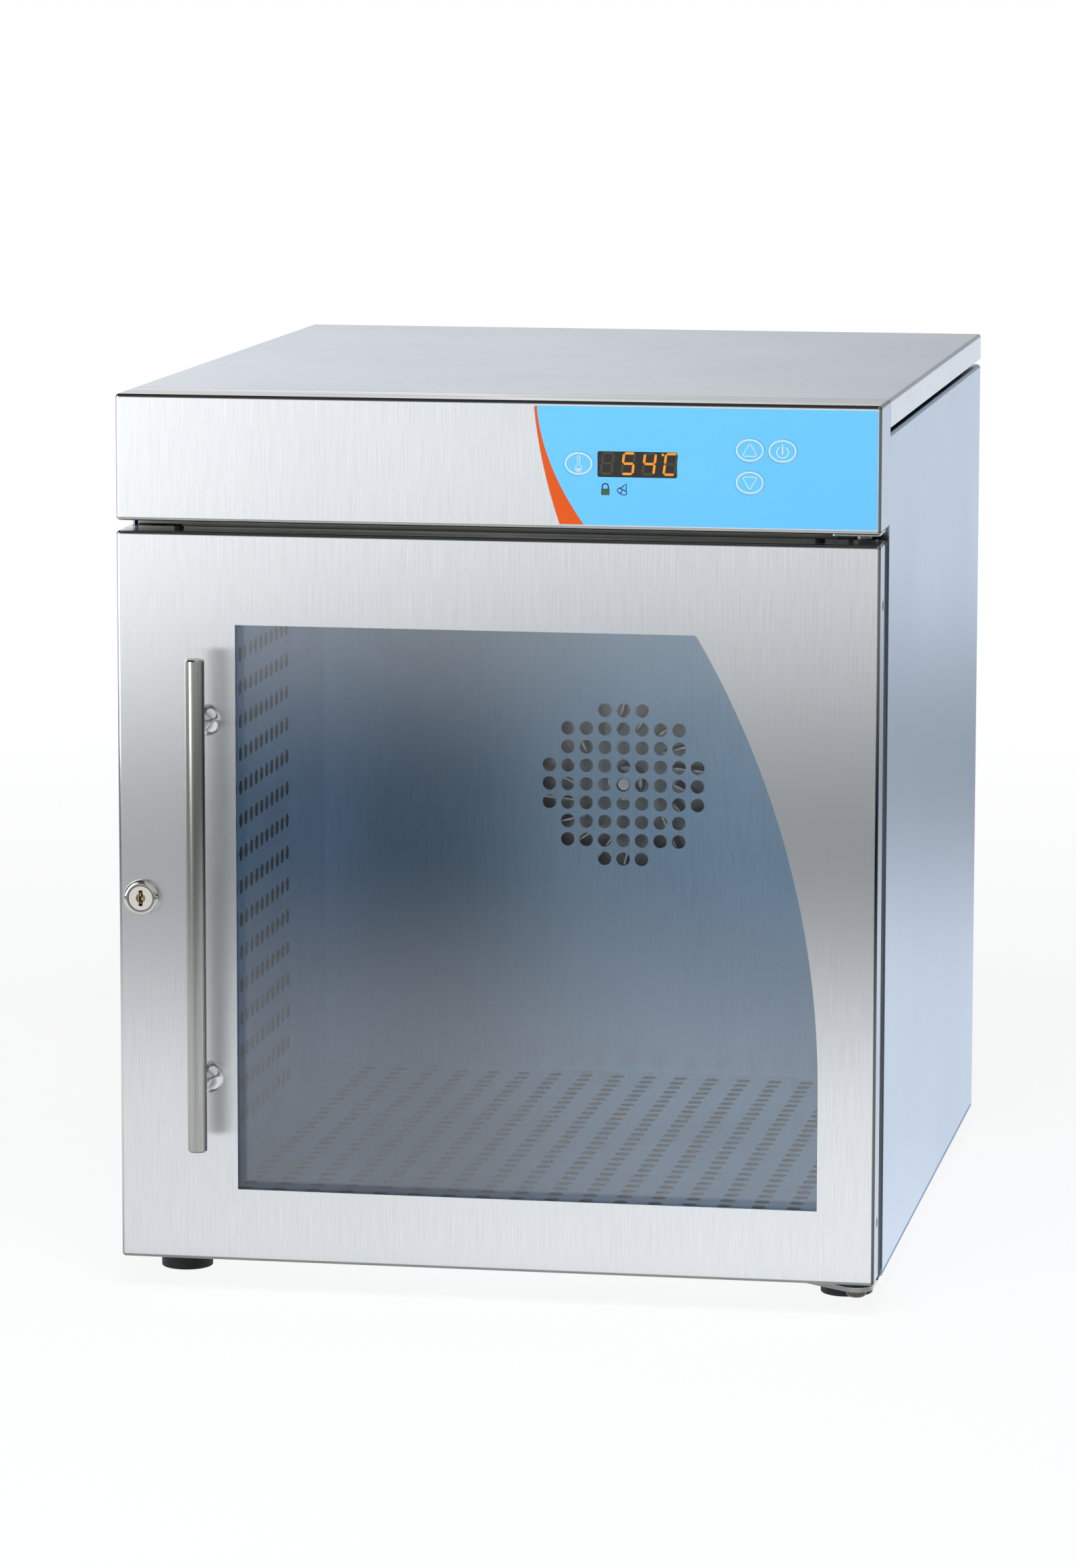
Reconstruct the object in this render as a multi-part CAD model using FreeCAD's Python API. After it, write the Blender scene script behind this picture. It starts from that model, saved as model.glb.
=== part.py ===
import FreeCAD, Part
import math
import os

# Countertop blanket warming cabinet of folded steel sheet with a glazed, side-hinged door.
# Bench frame while modelling, in mm: X across with +X on the hinge side, Y back from the
# door's front face, Z up from the floor. save() moves each piece to the final frame, whose
# origin is on the floor under the middle of the whole object.

V = FreeCAD.Vector

# Case
cabinet_w = 473.0
cabinet_depth = 587.0
case_h = 544.0
foot_h = 17.0
sheet = 1.2
liner = 1.0
bend_r = 2.2
fold = 12.0
front_depth = 44.8
header_h = 78.0
skirt_h = 17.0
cover_gap = 4.0
front_post_w = 25.0
sill_h = 32.0
lintel_drop = 30.0
header_rim_w = 8.0
rear_rail_h = 46.0
cable_slot_x = 4.0
cable_slot_w = 27.4
cable_slot_h = 1.8
cover_seam = 0.8
vent_first_x = -150.0
vent_last_x = 30.0
vent_pitch = 20.0
vent_w = 4.0
vent_h = 16.0
vent_row = 11.0

# Warm chamber
chamber_back_y = 540.0
duct_gap = 8.0
plenum_depth = 34.0
shelf_gap = 14.0
batt_back_t = 15.0
batt_side_reach = 35.0
floor_duct = 10.0
hole_r = 4.75
hole_pitch = 22.0
hole_pitch_y = 16.0
hole_first_y = 62.0
hole_last_y = 390.0
hole_edge = 14.0
floor_hole_first_y = 86.0
fan_inlet_r = 60.0
fan_hole_pitch = 13.0

# Air heater
shaft_r = 4.0
shaft_clearance = 0.05
shaft_front_out = 2.0
shaft_end_gap = 1.0
motor_r = 38.0
motor_flange_r = 45.0
motor_len = 34.0
impeller_r = 72.0
impeller_eye_r = 35.0
impeller_w = 21.0
blade_count = 18
heater_ring_r = 98.0
heater_tube_r = 4.0
heater_gap_deg = 16.0
probe_r = 2.4
thermostat_r = 8.0
thermostat_in = 100.5
thermostat_y = 300.0
thermostat_t = 10.0
tab_x = 4.5
tab_t = 0.8
tab_w = 6.0
tab_root = 1.0
tab_gap = 1.0
probe_in = 70.5
probe_drop = 53.0
probe_tip_in = 2.0
gland_r = 6.0
gland_t = 8.0
motor_boss_r = 12.0
motor_boss_t = 5.0
motor_flange_t = 3.0
motor_box_x = 20.0
motor_box_half = 10.0
motor_box_rise = 7.0
hub_r = 12.0
impeller_gap = 3.0
impeller_sheet = 1.5
impeller_ring_w = 6.0
hub_set_back = 4.0
blade_t = 1.2
blade_deg = 25.0
heater_stand = 16.0
heater_leg_out = 4.0

# Door
door_gap = 6.3
door_lift = 3.5
door_t = 31.0
skin_side_fold = 21.0
pan_fold = 24.0
window_left = 74.6
window_right = 35.5
window_bottom = 45.5
window_top = 56.9
window_arc_r = 547.0
window_straight = 74.5
window_corner_r = 3.0
glass_t = 4.0
glass_space = 8.0
glass_lap = 12.0
pan_lap = 9.0
spacer_w = 7.0
seal_w = 12.0
seal_gap = 0.3
seal_edge_r = 4.0
seal_side_r = 11.0
seal_drop = 1.0
seal_top_gap = 0.5

# Handle
handle_r = 6.0
handle_len = 306.5
handle_x = 55.9
handle_reach = 29.5
handle_chamfer = 1.0
post_pitch = 224.0
post_r = 5.0
post_base_r = 9.75
post_base_t = 1.5
handle_screw_r = 2.5
handle_screw_head_r = 4.0
handle_screw_head_t = 2.2
handle_screw_len = 10.0

# Hinges
pivot_in = 13.0
pivot_y = 20.0
pin_r = 5.3
bush_r = 7.0
bush_len = 14.0
bush_flange_r = 9.0
bush_flange_t = 2.0
running_gap = 0.05
part_gap = 0.3
bracket_t = 3.0
bracket_top_t = 1.5
bracket_corner_r = 3.0
bracket_top_w = 30.0
bracket_top_end = 11.5
bracket_top_y = 8.0
bracket_leg_h = 9.5
bracket_leg_t = 0.8
bracket_tip_r = 10.5
bolt_head_r = 6.25
bolt_head_h = 4.8
bracket_bolt_r = 2.0
bracket_head_r = 3.8
bracket_nut_r = 4.0
bracket_root_w = 26.5
bracket_root_y = 13.0
bracket_gap = 1.0

# Cam lock and strike
lock_x = 14.9
collar_r = 11.2
collar_t = 5.0
barrel_r = 9.5
barrel_flat = 8.2
barrel_len = 18.0
plug_r = 7.75
plug_gap = 0.05
plug_recess = 0.4
key_well_r = 3.0
key_well_t = 1.0
keyway_w = 2.5
keyway_h = 9.9
keyway_t = 12.0
lock_nut_r = 12.0
lock_nut_t = 3.5
cam_t = 2.0
cam_tip_r = 5.0
cam_reach = 6.8
tail_half = 3.0
tail_len = 5.5
cam_nut_r = 5.0
cam_nut_t = 2.5
barrel_in_collar = 0.5
strike_h = 36.0
strike_window_h = 16.0
strike_window_y = 17.0
strike_window_t = 5.0
strike_front_y = 12.0
strike_foot_t = 1.5
strike_foot_w = 2.8
strike_overlap = 1.4
strike_slot_w = 4.4
strike_slot_end = 2.0

# Control panel
label_t = 0.6
label_w = 209.9
label_right = 2.2
label_margin = 3.0
label_lean = 16.0
label_bow = 2.2
label_corner_r = 1.0
display_w = 48.8
display_h = 15.7
display_right = 124.1
display_up = 32.3
display_corner_r = 1.2
display_ledge = 1.0
module_h = 19.0
module_depth = 10.8
board_t = 1.6
board_margin = 9.0
board_w = 149.5
board_right = 43.5
spacer_r = 3.0
spacer_inset = 5.0
key_set_right = 184.4
key_set_up = 40.1
key_up_right = 79.8
key_up_up = 49.9
key_down_right = 79.7
key_down_up = 30.3
key_power_right = 59.9
key_power_up = 49.7
key_rx = 9.1
key_ry = 7.4
key_t = 0.3
key_proud = 0.1
key_ring_gap = 0.15
key_stem_r = 2.0
key_stem_hole_r = 2.5
key_travel = 0.3
switch_half = 3.0
switch_h = 4.0
switch_body_t = 2.5
plunger_r = 1.75
relay_size = 16.0
relay_w = 19.2
relay_in = 15.0
relay_up = 8.0
board_plug_w = 16.0
board_plug_h = 8.0
board_plug_t = 10.0

# Feet and screws
foot_r = 16.3
foot_inset = 25.3
foot_front_y = 72.0
foot_rear_in = 45.0
foot_edge_r = 1.0
foot_screw_r = 2.5
foot_head_r = 5.0
foot_head_t = 3.0
foot_recess_r = 6.0
foot_recess = 8.0
nut_r = 4.5
nut_h = 4.0
nut_room = 1.8
screw_past_nut = 0.8
rear_head = 2.0
case_screw_r = 2.0
case_head_r = 3.6
case_screw_len = 6.0
case_screw_in = 5.0
case_screw_shares = (0.08, 0.36, 0.64, 0.92)
skirt_screw_share = 0.75
door_screw_r = 1.6
door_screw_head_r = 3.2
door_screw_head_t = 1.9
door_screw_len = 6.0
side_screw_y = 14.2
side_screw_low = 37.1
side_screw_high = 38.0
top_screw_left = 36.3
top_screw_right = 38.7
top_screw_y = 15.6

# Power side
inlet_x = 66.5
inlet_up = 39.0
inlet_w = 28.0
inlet_h = 22.0
inlet_wall = 2.0
inlet_depth = 24.0
inlet_flange = 4.0
inlet_flange_t = 1.8
inlet_pin_setback = 5.0
inlet_pin_w = 4.0
inlet_pin_t = 2.0
inlet_pins = ((-7.0, -2.0), (0.0, 2.0), (7.0, -2.0))
supply_size = (100.0, 130.0, 38.0)
supply_x = -150.0
supply_y = 150.0
terminal_size = (60.0, 25.0, 20.0)
terminal_x = 70.0
terminal_y = 500.0
terminal_well_r = 2.5
terminal_well_t = 6.0
terminal_pitch = 12.0
wire_r = 2.5
wire_hole_r = 9.0
wire_spread = 4.0
wire_rise = 12.0
wire_cross_in = 120.0
wire_cross_up = 42.0
wire_drop_x = 58.0
wire_behind = 14.0
wire_turn = 20.0
wire_floor_gap = 1.0
wire_inlet_in = 16.0
wire_supply_out = 60.0
wire_supply_off = 30.0
wire_board_off = 80.0
heater_lead_x = 20.0
motor_lead_x = 8.0
heater_lead_up = 60.0
motor_lead_up = 90.0

# Places worked out from the sizes
half_w = cabinet_w / 2
inside_w = half_w - sheet
base_z = foot_h
base_top = base_z + sheet
top_z = base_z + case_h
header_z = top_z - header_h
lintel_z = header_z - lintel_drop
sill_z = base_z + sill_h
cover_z = top_z - skirt_h
side_top = cover_z - cover_gap
back_y = cabinet_depth - sheet
frame_y = front_depth + sheet
post_x = half_w - front_post_w
shelf_z = lintel_z + liner + shelf_gap
door_z0 = base_z + door_lift
door_z1 = header_z - door_gap
door_mid = (door_z0 + door_z1) / 2
pan_r = bend_r - sheet
glass_x0 = window_left - half_w
glass_x1 = half_w - window_right
glass_z0 = door_z0 + window_bottom
glass_z1 = door_z1 - window_top
inner_glass_y = sheet + glass_t + glass_space
glass_back_y = inner_glass_y + glass_t
pivot_x = half_w - pivot_in
seal_inset = pivot_in - seal_edge_r
seal_back_y = front_depth - seal_gap
seal_low_z = door_z0 - seal_drop
seal_top_r = front_depth - bracket_leg_t - part_gap - pivot_y
lock_at = lock_x - half_w
handle_at = handle_x - half_w
strike_x = lock_at - cam_reach - cam_tip_r + strike_overlap
fan_z = (sill_z + lintel_z) / 2
duct_back_y = chamber_back_y - plenum_depth
chamber_x = post_x + liner + duct_gap
batt_back_y = chamber_back_y + liner
foot_at = half_w - foot_inset
foot_rear_y = cabinet_depth - foot_rear_in
bracket_z0 = base_z - bracket_t
bracket_top_z = header_z - bracket_top_t
board_y = sheet + module_depth
label_x1 = half_w - label_right
label_z0 = header_z + label_margin
label_z1 = top_z - label_margin
display_x0 = half_w - display_right - display_w
display_z0 = header_z + display_up
inlet_at = half_w - inlet_x
inlet_z = top_z - skirt_h - cover_gap - inlet_up
wire_cross_x = half_w - wire_cross_in
wire_cross_z = header_z + wire_cross_up
board_plug_y = board_y + board_t + board_plug_t
key_stem_end_y = board_y - switch_h
wire_drop_y = batt_back_y + batt_back_t + wire_behind
motor_box_z = fan_z + motor_r + motor_box_rise
impeller_y0 = duct_back_y + liner + impeller_gap
impeller_y1 = impeller_y0 + impeller_w
shaft_end_y = batt_back_y + motor_len - motor_boss_t
heater_y = duct_back_y + heater_stand
heater_leg_x = heater_ring_r * math.sin(math.radians(heater_gap_deg / 2))
heater_leg_z = fan_z - heater_ring_r * math.cos(math.radians(heater_gap_deg / 2))
heater_leg_y = batt_back_y + batt_back_t + heater_leg_out
probe_x = probe_in - chamber_x
probe_z = lintel_z - probe_drop
thermostat_x = chamber_x - thermostat_in

# The bar's front and the screw heads on the back are the two ends of the whole object.
front_y = -((cabinet_depth + rear_head) - (handle_reach + handle_r)) / 2


def save(name, *solids):
    """Write one node in the final frame; several solids in one node stay separate."""
    shape = solids[0] if len(solids) == 1 else Part.makeCompound(list(solids))
    shape = shape.copy()
    shape.translate(V(0, front_y, 0))
    shape.exportStep("parts/" + name + ".step")


def block(x0, x1, y0, y1, z0, z1):
    return Part.makeBox(x1 - x0, y1 - y0, z1 - z0, V(x0, y0, z0))


def rod(r, start, end):
    """Round bar between two points."""
    run = V(*end) - V(*start)
    return Part.makeCylinder(r, run.Length, V(*start), run)


def tube(r_out, r_in, start, end):
    return rod(r_out, start, end).cut(rod(r_in, start, end))


def joined(first, *others):
    return first.fuse(list(others)).removeSplitter()


def other_side(shape):
    """The same piece for the other hand, mirrored across the middle of the cabinet."""
    return shape.mirror(V(0, 0, 0), V(1, 0, 0))


def edges_between(shape, planes):
    """Edges where two of the given planes meet; a plane is (axis, place)."""
    found = []
    for edge in shape.Edges:
        spot = {"x": edge.CenterOfMass.x, "y": edge.CenterOfMass.y, "z": edge.CenterOfMass.z}
        axes = {axis for axis, place in planes if abs(spot[axis] - place) < 1e-6}
        if len(axes) > 1:
            found.append(edge)
    return found


def folded(x, y, z, walls, t, r):
    """Folded sheet: a wall of thickness t on each named side of a box, outside bend radius r."""
    place = {"x0": x[0], "x1": x[1], "y0": y[0], "y1": y[1], "z0": z[0], "z1": z[1]}
    inner = {}
    for side, at in place.items():
        inward = t if side[1] == "0" else -t
        inner[side] = at + (inward if side in walls else -inward)
    outside = block(x[0], x[1], y[0], y[1], z[0], z[1])
    inside = block(inner["x0"], inner["x1"], inner["y0"], inner["y1"], inner["z0"], inner["z1"])
    outside = outside.makeFillet(r, edges_between(outside, [(side[0], place[side]) for side in walls]))
    if r - t > 0.05:
        inside = inside.makeFillet(r - t, edges_between(inside, [(side[0], inner[side]) for side in walls]))
    return outside.cut(inside)


def frame_ring(x0, x1, y0, y1, z0, z1, wall):
    """Rectangular ring facing the front, with walls of one width on all four sides."""
    ring = block(x0, x1, y0, y1, z0, z1)
    return ring.cut(block(x0 + wall, x1 - wall, y0, y1, z0 + wall, z1 - wall))


def circle_wire(r, u, v):
    return Part.Wire(Part.makeCircle(r, V(u, v, 0)))


def rectangle_wire(u0, u1, v0, v1):
    return Part.makePolygon([V(u0, v0, 0), V(u1, v0, 0), V(u1, v1, 0), V(u0, v1, 0), V(u0, v0, 0)])


def flat_plate(outline, holes, t):
    """Plate of thickness t on the XY plane, from a closed outline and the outlines of its holes."""
    face = Part.makeFace([outline] + holes, "Part::FaceMakerBullseye")
    return face.extrude(V(0, 0, t))


def stand_facing_x(plate, x):
    """Turn a flat plate so that its sides run along Y and Z and it rises along +X from x."""
    plate = plate.copy()
    plate.Placement = FreeCAD.Placement(V(x, 0, 0), FreeCAD.Rotation(V(1, 1, 1), 120))
    return plate


def stand_facing_y(plate, y):
    """Turn a flat plate so that its sides run along X and Z and its far face lies at y."""
    plate = plate.copy()
    plate.Placement = FreeCAD.Placement(V(0, y, 0), FreeCAD.Rotation(V(1, 0, 0), 90))
    return plate


def steps(first, last, pitch):
    """Evenly pitched places from first up to no further than last."""
    return [first + pitch * i for i in range(int((last - first) / pitch + 1e-6) + 1)]


def pan_head_screw(r, head_r, head_t, length, seat, out):
    """Screw with a low round head on its seat and its shank going in; out points away."""
    out = V(*out)
    seat = V(*seat)
    head = Part.makeCylinder(head_r, head_t, seat, out)
    rim = [edge for edge in head.Edges if (edge.CenterOfMass - (seat + out * head_t)).Length < 1e-6]
    head = head.makeFillet(head_t * 0.5, rim)
    return joined(head, Part.makeCylinder(r, length, seat, out * -1))


def lead(points, r):
    """Insulated wire: straight runs joined by tangent arcs."""
    points = [V(*p) for p in points]
    edges = []
    at = points[0]
    for before, corner, after in zip(points, points[1:], points[2:]):
        back = (before - corner).normalize()
        ahead = (after - corner).normalize()
        half_turn = (math.pi - back.getAngle(ahead)) / 2
        reach = 0.45 * min((before - corner).Length, (after - corner).Length)
        bend = reach / math.tan(half_turn)
        middle = (back + ahead).normalize()
        arc_in = corner + back * reach
        arc_out = corner + ahead * reach
        arc_mid = corner + middle * (bend / math.cos(half_turn) - bend)
        edges += [Part.makeLine(at, arc_in), Part.Arc(arc_in, arc_mid, arc_out).toShape()]
        at = arc_out
    edges.append(Part.makeLine(at, points[-1]))
    section = Part.Wire(Part.makeCircle(r, points[0], points[1] - points[0]))
    return Part.Wire(edges).makePipeShell([section], True, False)


# ---------- outer case ----------
def side_panel(screws):
    """Side sheet with a folded lip at the top, back and bottom; open towards the door."""
    panel = folded((half_w - fold, half_w), (front_depth, back_y), (base_top, side_top),
                   ("x1", "y1", "z0", "z1"), sheet, bend_r)
    return panel.cut([block(half_w - fold, inside_w, front_depth, frame_y, base_top, side_top)] + screws)


def base_pan(cuts):
    """Base plate with its front folded up as the sill and a low fold at the back."""
    plate = block(-half_w, half_w, front_depth, back_y, base_z, base_top)
    notch = block(-post_x, post_x, front_depth, front_depth + bend_r, base_z, base_top)
    tray = folded((-post_x, post_x), (front_depth, back_y), (base_z, sill_z), ("y0", "y1", "z0"),
                  sheet, bend_r)
    tray = tray.cut(block(-post_x, post_x, back_y - sheet, back_y, base_z + fold, sill_z))
    rear_notch = block(-post_x, post_x, back_y - bend_r, back_y, base_z, base_top)
    return joined(plate.cut([notch, rear_notch]), tray).cut(cuts)


def front_post():
    """Upright beside the opening, with a return welded to the side panel."""
    post = folded((post_x, inside_w), (front_depth, front_depth + fold), (base_top, lintel_z),
                  ("y0", "x1"), sheet, bend_r)
    return post.cut(block(post_x, inside_w, frame_y, front_depth + fold, base_top, base_z + fold + sheet))


def front_rail_top():
    """Cross sheet above the opening, behind the header, folded back under the cover."""
    rail_x = inside_w - bend_r
    rail = folded((-rail_x, rail_x), (front_depth, front_depth + fold), (lintel_z, top_z - sheet),
                  ("y0", "z1"), sheet, bend_r)
    slot_x = cable_slot_x - half_w
    slot = block(slot_x, slot_x + cable_slot_w, front_depth, frame_y, door_z1 - cable_slot_h, door_z1)
    wires = rod(wire_hole_r, (wire_cross_x, front_depth, wire_cross_z), (wire_cross_x, frame_y, wire_cross_z))
    return rail.cut([slot, wires])


def case_screw_places():
    """Rear screws: two columns in the side panels' lips and a row in the cover's skirt."""
    column_x = half_w - bend_r - case_screw_in
    rise = side_top - base_z
    places = [(side * column_x, base_z + rise * share) for side in (-1, 1) for share in case_screw_shares]
    skirt_z = cover_z + skirt_h / 2
    skirt_x = skirt_screw_share * half_w
    return places + [(x, skirt_z) for x in (-skirt_x, 0, skirt_x)]


def case_screws():
    return [pan_head_screw(case_screw_r, case_head_r, rear_head, case_screw_len,
                           (x, cabinet_depth, z), (0, 1, 0)) for x, z in case_screw_places()]


def back_panel(screws):
    """Flat rear sheet with the power inlet's cut-out and two rows of cooling slots."""
    width = half_w - bend_r
    panel = block(-width, width, back_y, cabinet_depth, base_z, side_top)
    mouth = block(inlet_at - inlet_w / 2, inlet_at + inlet_w / 2, back_y, cabinet_depth,
                  inlet_z - inlet_h / 2, inlet_z + inlet_h / 2)
    slots = []
    for x in steps(vent_first_x, vent_last_x, vent_pitch):
        for z in (inlet_z - vent_row, inlet_z + vent_row):
            slots.append(block(x - vent_w / 2, x + vent_w / 2, back_y, cabinet_depth,
                               z - vent_h / 2, z + vent_h / 2))
    return panel.cut([mouth] + slots + screws)


def rear_rail(screws):
    """Angle across the back that carries the cover's rear edge."""
    rail_x = half_w - fold - sheet
    rail = folded((-rail_x, rail_x), (back_y - fold, back_y), (top_z - sheet - rear_rail_h, top_z - sheet),
                  ("y1", "z1"), sheet, bend_r)
    inlet_room = block(inlet_at - inlet_w, inlet_at + inlet_w, back_y - sheet, back_y, base_z,
                       inlet_z + inlet_h / 2 + inlet_flange)
    return rail.cut([inlet_room] + screws)


def top_cover(screws):
    return folded((-half_w, half_w), (front_depth + cover_seam, cabinet_depth), (cover_z, top_z),
                  ("x0", "x1", "y1", "z1"), sheet, bend_r).cut(screws)


def control_shelf():
    """Shelf over the insulation that carries the electrical parts."""
    shelf = block(-inside_w, inside_w, frame_y, back_y - sheet - bend_r, shelf_z, shelf_z + sheet)
    return shelf.cut(rod(wire_hole_r, (wire_drop_x, wire_drop_y, shelf_z),
                         (wire_drop_x, wire_drop_y, shelf_z + sheet)))


def header_housing():
    """Folded box across the front, above the door, open to the rail behind it."""
    box = folded((-half_w, half_w), (0, front_depth), (header_z, top_z), ("y0", "x0", "x1", "z0", "z1"),
                 sheet, bend_r)
    rim = frame_ring(-inside_w, inside_w, front_depth - sheet, front_depth, header_z + sheet,
                     top_z - sheet, header_rim_w)
    window = block(display_x0 + display_ledge, display_x0 + display_w - display_ledge, 0, sheet,
                   display_z0 + display_ledge, display_z0 + display_h - display_ledge)
    stems = [rod(key_stem_hole_r, (x, 0, z), (x, sheet, z)) for x, z in key_places().values()]
    return joined(box, rim).cut([window] + stems)


# ---------- warm chamber ----------
def chamber_liner():
    """Welded wrap round the chamber: two walls, the ceiling and the bottom."""
    low = sill_z - floor_duct
    wrap = block(-chamber_x - liner, chamber_x + liner, frame_y, batt_back_y, low, lintel_z + liner)
    room = block(-chamber_x, chamber_x, frame_y, batt_back_y, low + liner, lintel_z)
    return wrap.cut(room)


def chamber_back(cuts):
    wall = block(-chamber_x, chamber_x, chamber_back_y, batt_back_y, sill_z - floor_duct + liner, lintel_z)
    return wall.cut(cuts)


def duct_panel_right():
    """Perforated side wall of the chamber, standing clear of the liner for the warm air."""
    holes = [circle_wire(hole_r, y, z)
             for y in steps(hole_first_y, min(hole_last_y, duct_back_y - hole_edge), hole_pitch_y)
             for z in steps(sill_z + hole_edge, lintel_z - hole_edge, hole_pitch)]
    outline = rectangle_wire(frame_y, duct_back_y + liner, sill_z, lintel_z)
    return stand_facing_x(flat_plate(outline, holes, liner), post_x)


def duct_panel_floor():
    """Perforated floor that the blankets lie on."""
    half_row = hole_pitch * int((post_x - hole_edge) / hole_pitch)
    holes = [circle_wire(hole_r, x, y)
             for x in steps(-half_row, half_row, hole_pitch)
             for y in steps(floor_hole_first_y, duct_back_y - hole_edge, hole_pitch_y)]
    outline = rectangle_wire(-chamber_x, chamber_x, frame_y, duct_back_y)
    plate = flat_plate(outline, holes, liner)
    plate.translate(V(0, 0, sill_z - liner))
    return plate


def duct_panel_back():
    """Rear wall of the chamber, perforated in a disc where the fan draws air in."""
    count = int(fan_inlet_r / fan_hole_pitch)
    holes = []
    for row in range(-count, count + 1):
        for col in range(-count, count + 1):
            x = col * fan_hole_pitch
            z = row * fan_hole_pitch
            if math.hypot(x, z) < fan_inlet_r - hole_r:
                holes.append(circle_wire(hole_r, x, fan_z + z))
    outline = rectangle_wire(-post_x, post_x, sill_z, lintel_z)
    return stand_facing_y(flat_plate(outline, holes, liner), duct_back_y + liner)


def insulation_batts(cuts):
    """Mineral wool batts: two sides, bottom, top and back."""
    outer_x = chamber_x + liner
    front = front_depth + fold + sheet
    side_end = batt_back_y + batt_side_reach
    over_nuts = base_top + nut_h + nut_room
    low = sill_z - floor_duct
    batts = [
        block(outer_x, inside_w, front, side_end, base_top + bend_r, shelf_z),
        block(-inside_w, -outer_x, front, side_end, base_top + bend_r, shelf_z),
        block(-outer_x, outer_x, front, batt_back_y, over_nuts, low),
        block(-outer_x, outer_x, frame_y, batt_back_y, lintel_z + liner, shelf_z),
        block(-outer_x, outer_x, batt_back_y, batt_back_y + batt_back_t, over_nuts, shelf_z),
    ]
    return [batt.cut(cuts) for batt in batts]


# ---------- air heater ----------
def fan_motor():
    """Shaded-pole motor bolted to the chamber's back, with a bearing boss at the rear."""
    front_y0 = batt_back_y
    flange = rod(motor_flange_r, (0, front_y0, fan_z), (0, front_y0 + motor_flange_t, fan_z))
    body = rod(motor_r, (0, front_y0, fan_z), (0, front_y0 + motor_len, fan_z))
    boss = rod(motor_boss_r, (0, front_y0, fan_z), (0, front_y0 + motor_len + motor_boss_t, fan_z))
    terminals = block(motor_box_x - motor_box_half, motor_box_x + motor_box_half,
                      front_y0 + motor_flange_t, front_y0 + motor_len, fan_z + motor_r / 2, motor_box_z)
    bore = rod(shaft_r + shaft_clearance, (0, front_y0, fan_z), (0, shaft_end_y + shaft_end_gap, fan_z))
    return joined(flange, body, boss, terminals).cut(bore)


def fan_shaft():
    return rod(shaft_r, (0, impeller_y0 - shaft_front_out, fan_z), (0, shaft_end_y, fan_z))


def fan_impeller():
    """Centrifugal wheel: back plate, hub, blades and a front ring."""
    plate = rod(impeller_r, (0, impeller_y1, fan_z), (0, impeller_y1 + impeller_sheet, fan_z))
    hub = rod(hub_r, (0, impeller_y0 + hub_set_back, fan_z), (0, impeller_y1 + impeller_gap, fan_z))
    ring = tube(impeller_r, impeller_r - impeller_ring_w, (0, impeller_y0, fan_z),
                (0, impeller_y0 + impeller_sheet, fan_z))
    blades = []
    for i in range(blade_count):
        blade = block(impeller_eye_r, impeller_r, impeller_y0, impeller_y1,
                      fan_z - blade_t / 2, fan_z + blade_t / 2)
        blade.rotate(V(impeller_eye_r, 0, fan_z), V(0, 1, 0), blade_deg)
        blade = blade.common(rod(impeller_r, (0, impeller_y0, fan_z), (0, impeller_y1, fan_z)))
        blade.rotate(V(0, 0, fan_z), V(0, 1, 0), 360 * i / blade_count)
        blades.append(blade)
    bore = rod(shaft_r, (0, impeller_y0, fan_z), (0, impeller_y1 + impeller_gap, fan_z))
    return joined(plate, hub, ring, *blades).cut(bore)


def heater_element():
    """Sheathed ring heater round the impeller, with its two legs out through the back."""
    circle = Part.makeCircle(heater_tube_r, V(0, heater_y, fan_z - heater_ring_r), V(1, 0, 0))
    section = Part.Face(Part.Wire(circle))
    section.rotate(V(0, heater_y, fan_z), V(0, 1, 0), heater_gap_deg / 2)
    ring = section.revolve(V(0, heater_y, fan_z), V(0, 1, 0), 360 - heater_gap_deg)
    pieces = []
    for x in (-heater_leg_x, heater_leg_x):
        pieces.append(rod(heater_tube_r, (x, heater_y, heater_leg_z), (x, heater_leg_y, heater_leg_z)))
        pieces.append(Part.makeSphere(heater_tube_r, V(x, heater_y, heater_leg_z)))
    return joined(ring, *pieces)


def temperature_probe():
    start = (probe_x, duct_back_y + probe_tip_in, probe_z)
    stem = rod(probe_r, start, (probe_x, batt_back_y + gland_t, probe_z))
    gland = rod(gland_r, (probe_x, batt_back_y, probe_z), (probe_x, batt_back_y + gland_t, probe_z))
    return joined(stem, gland)


def high_limit_thermostat():
    """Disc thermostat clipped to the chamber's ceiling, with two tabs."""
    disc = rod(thermostat_r, (thermostat_x, thermostat_y, lintel_z + liner),
               (thermostat_x, thermostat_y, lintel_z + liner + thermostat_t))
    tabs = [block(x - tab_t / 2, x + tab_t / 2, thermostat_y - tab_w / 2, thermostat_y + tab_w / 2,
                  lintel_z + liner + thermostat_t - tab_root, shelf_z - tab_gap)
            for x in (thermostat_x - tab_x, thermostat_x + tab_x)]
    return joined(disc, *tabs)


# ---------- controls ----------
def key_places():
    """Centres of the four keys, measured from the cabinet's right side and the header's bottom."""
    return {
        "key_set": (half_w - key_set_right, header_z + key_set_up),
        "key_up": (half_w - key_up_right, header_z + key_up_up),
        "key_down": (half_w - key_down_right, header_z + key_down_up),
        "key_power": (half_w - key_power_right, header_z + key_power_up),
    }


def ellipse_plate(rx, ry, x, z, y0, y1):
    wire = Part.Wire(Part.Ellipse(V(0, 0, 0), rx, ry).toShape())
    plate = stand_facing_y(Part.Face(wire).extrude(V(0, 0, y1 - y0)), y1)
    plate.translate(V(x, 0, z))
    return plate


def rounded_window(x0, x1, y0, y1, z0, z1, r):
    tool = block(x0, x1, y0, y1, z0, z1)
    corners = edges_between(tool, [("x", x0), ("x", x1), ("z", z0), ("z", z1)])
    return tool.makeFillet(r, corners)


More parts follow.
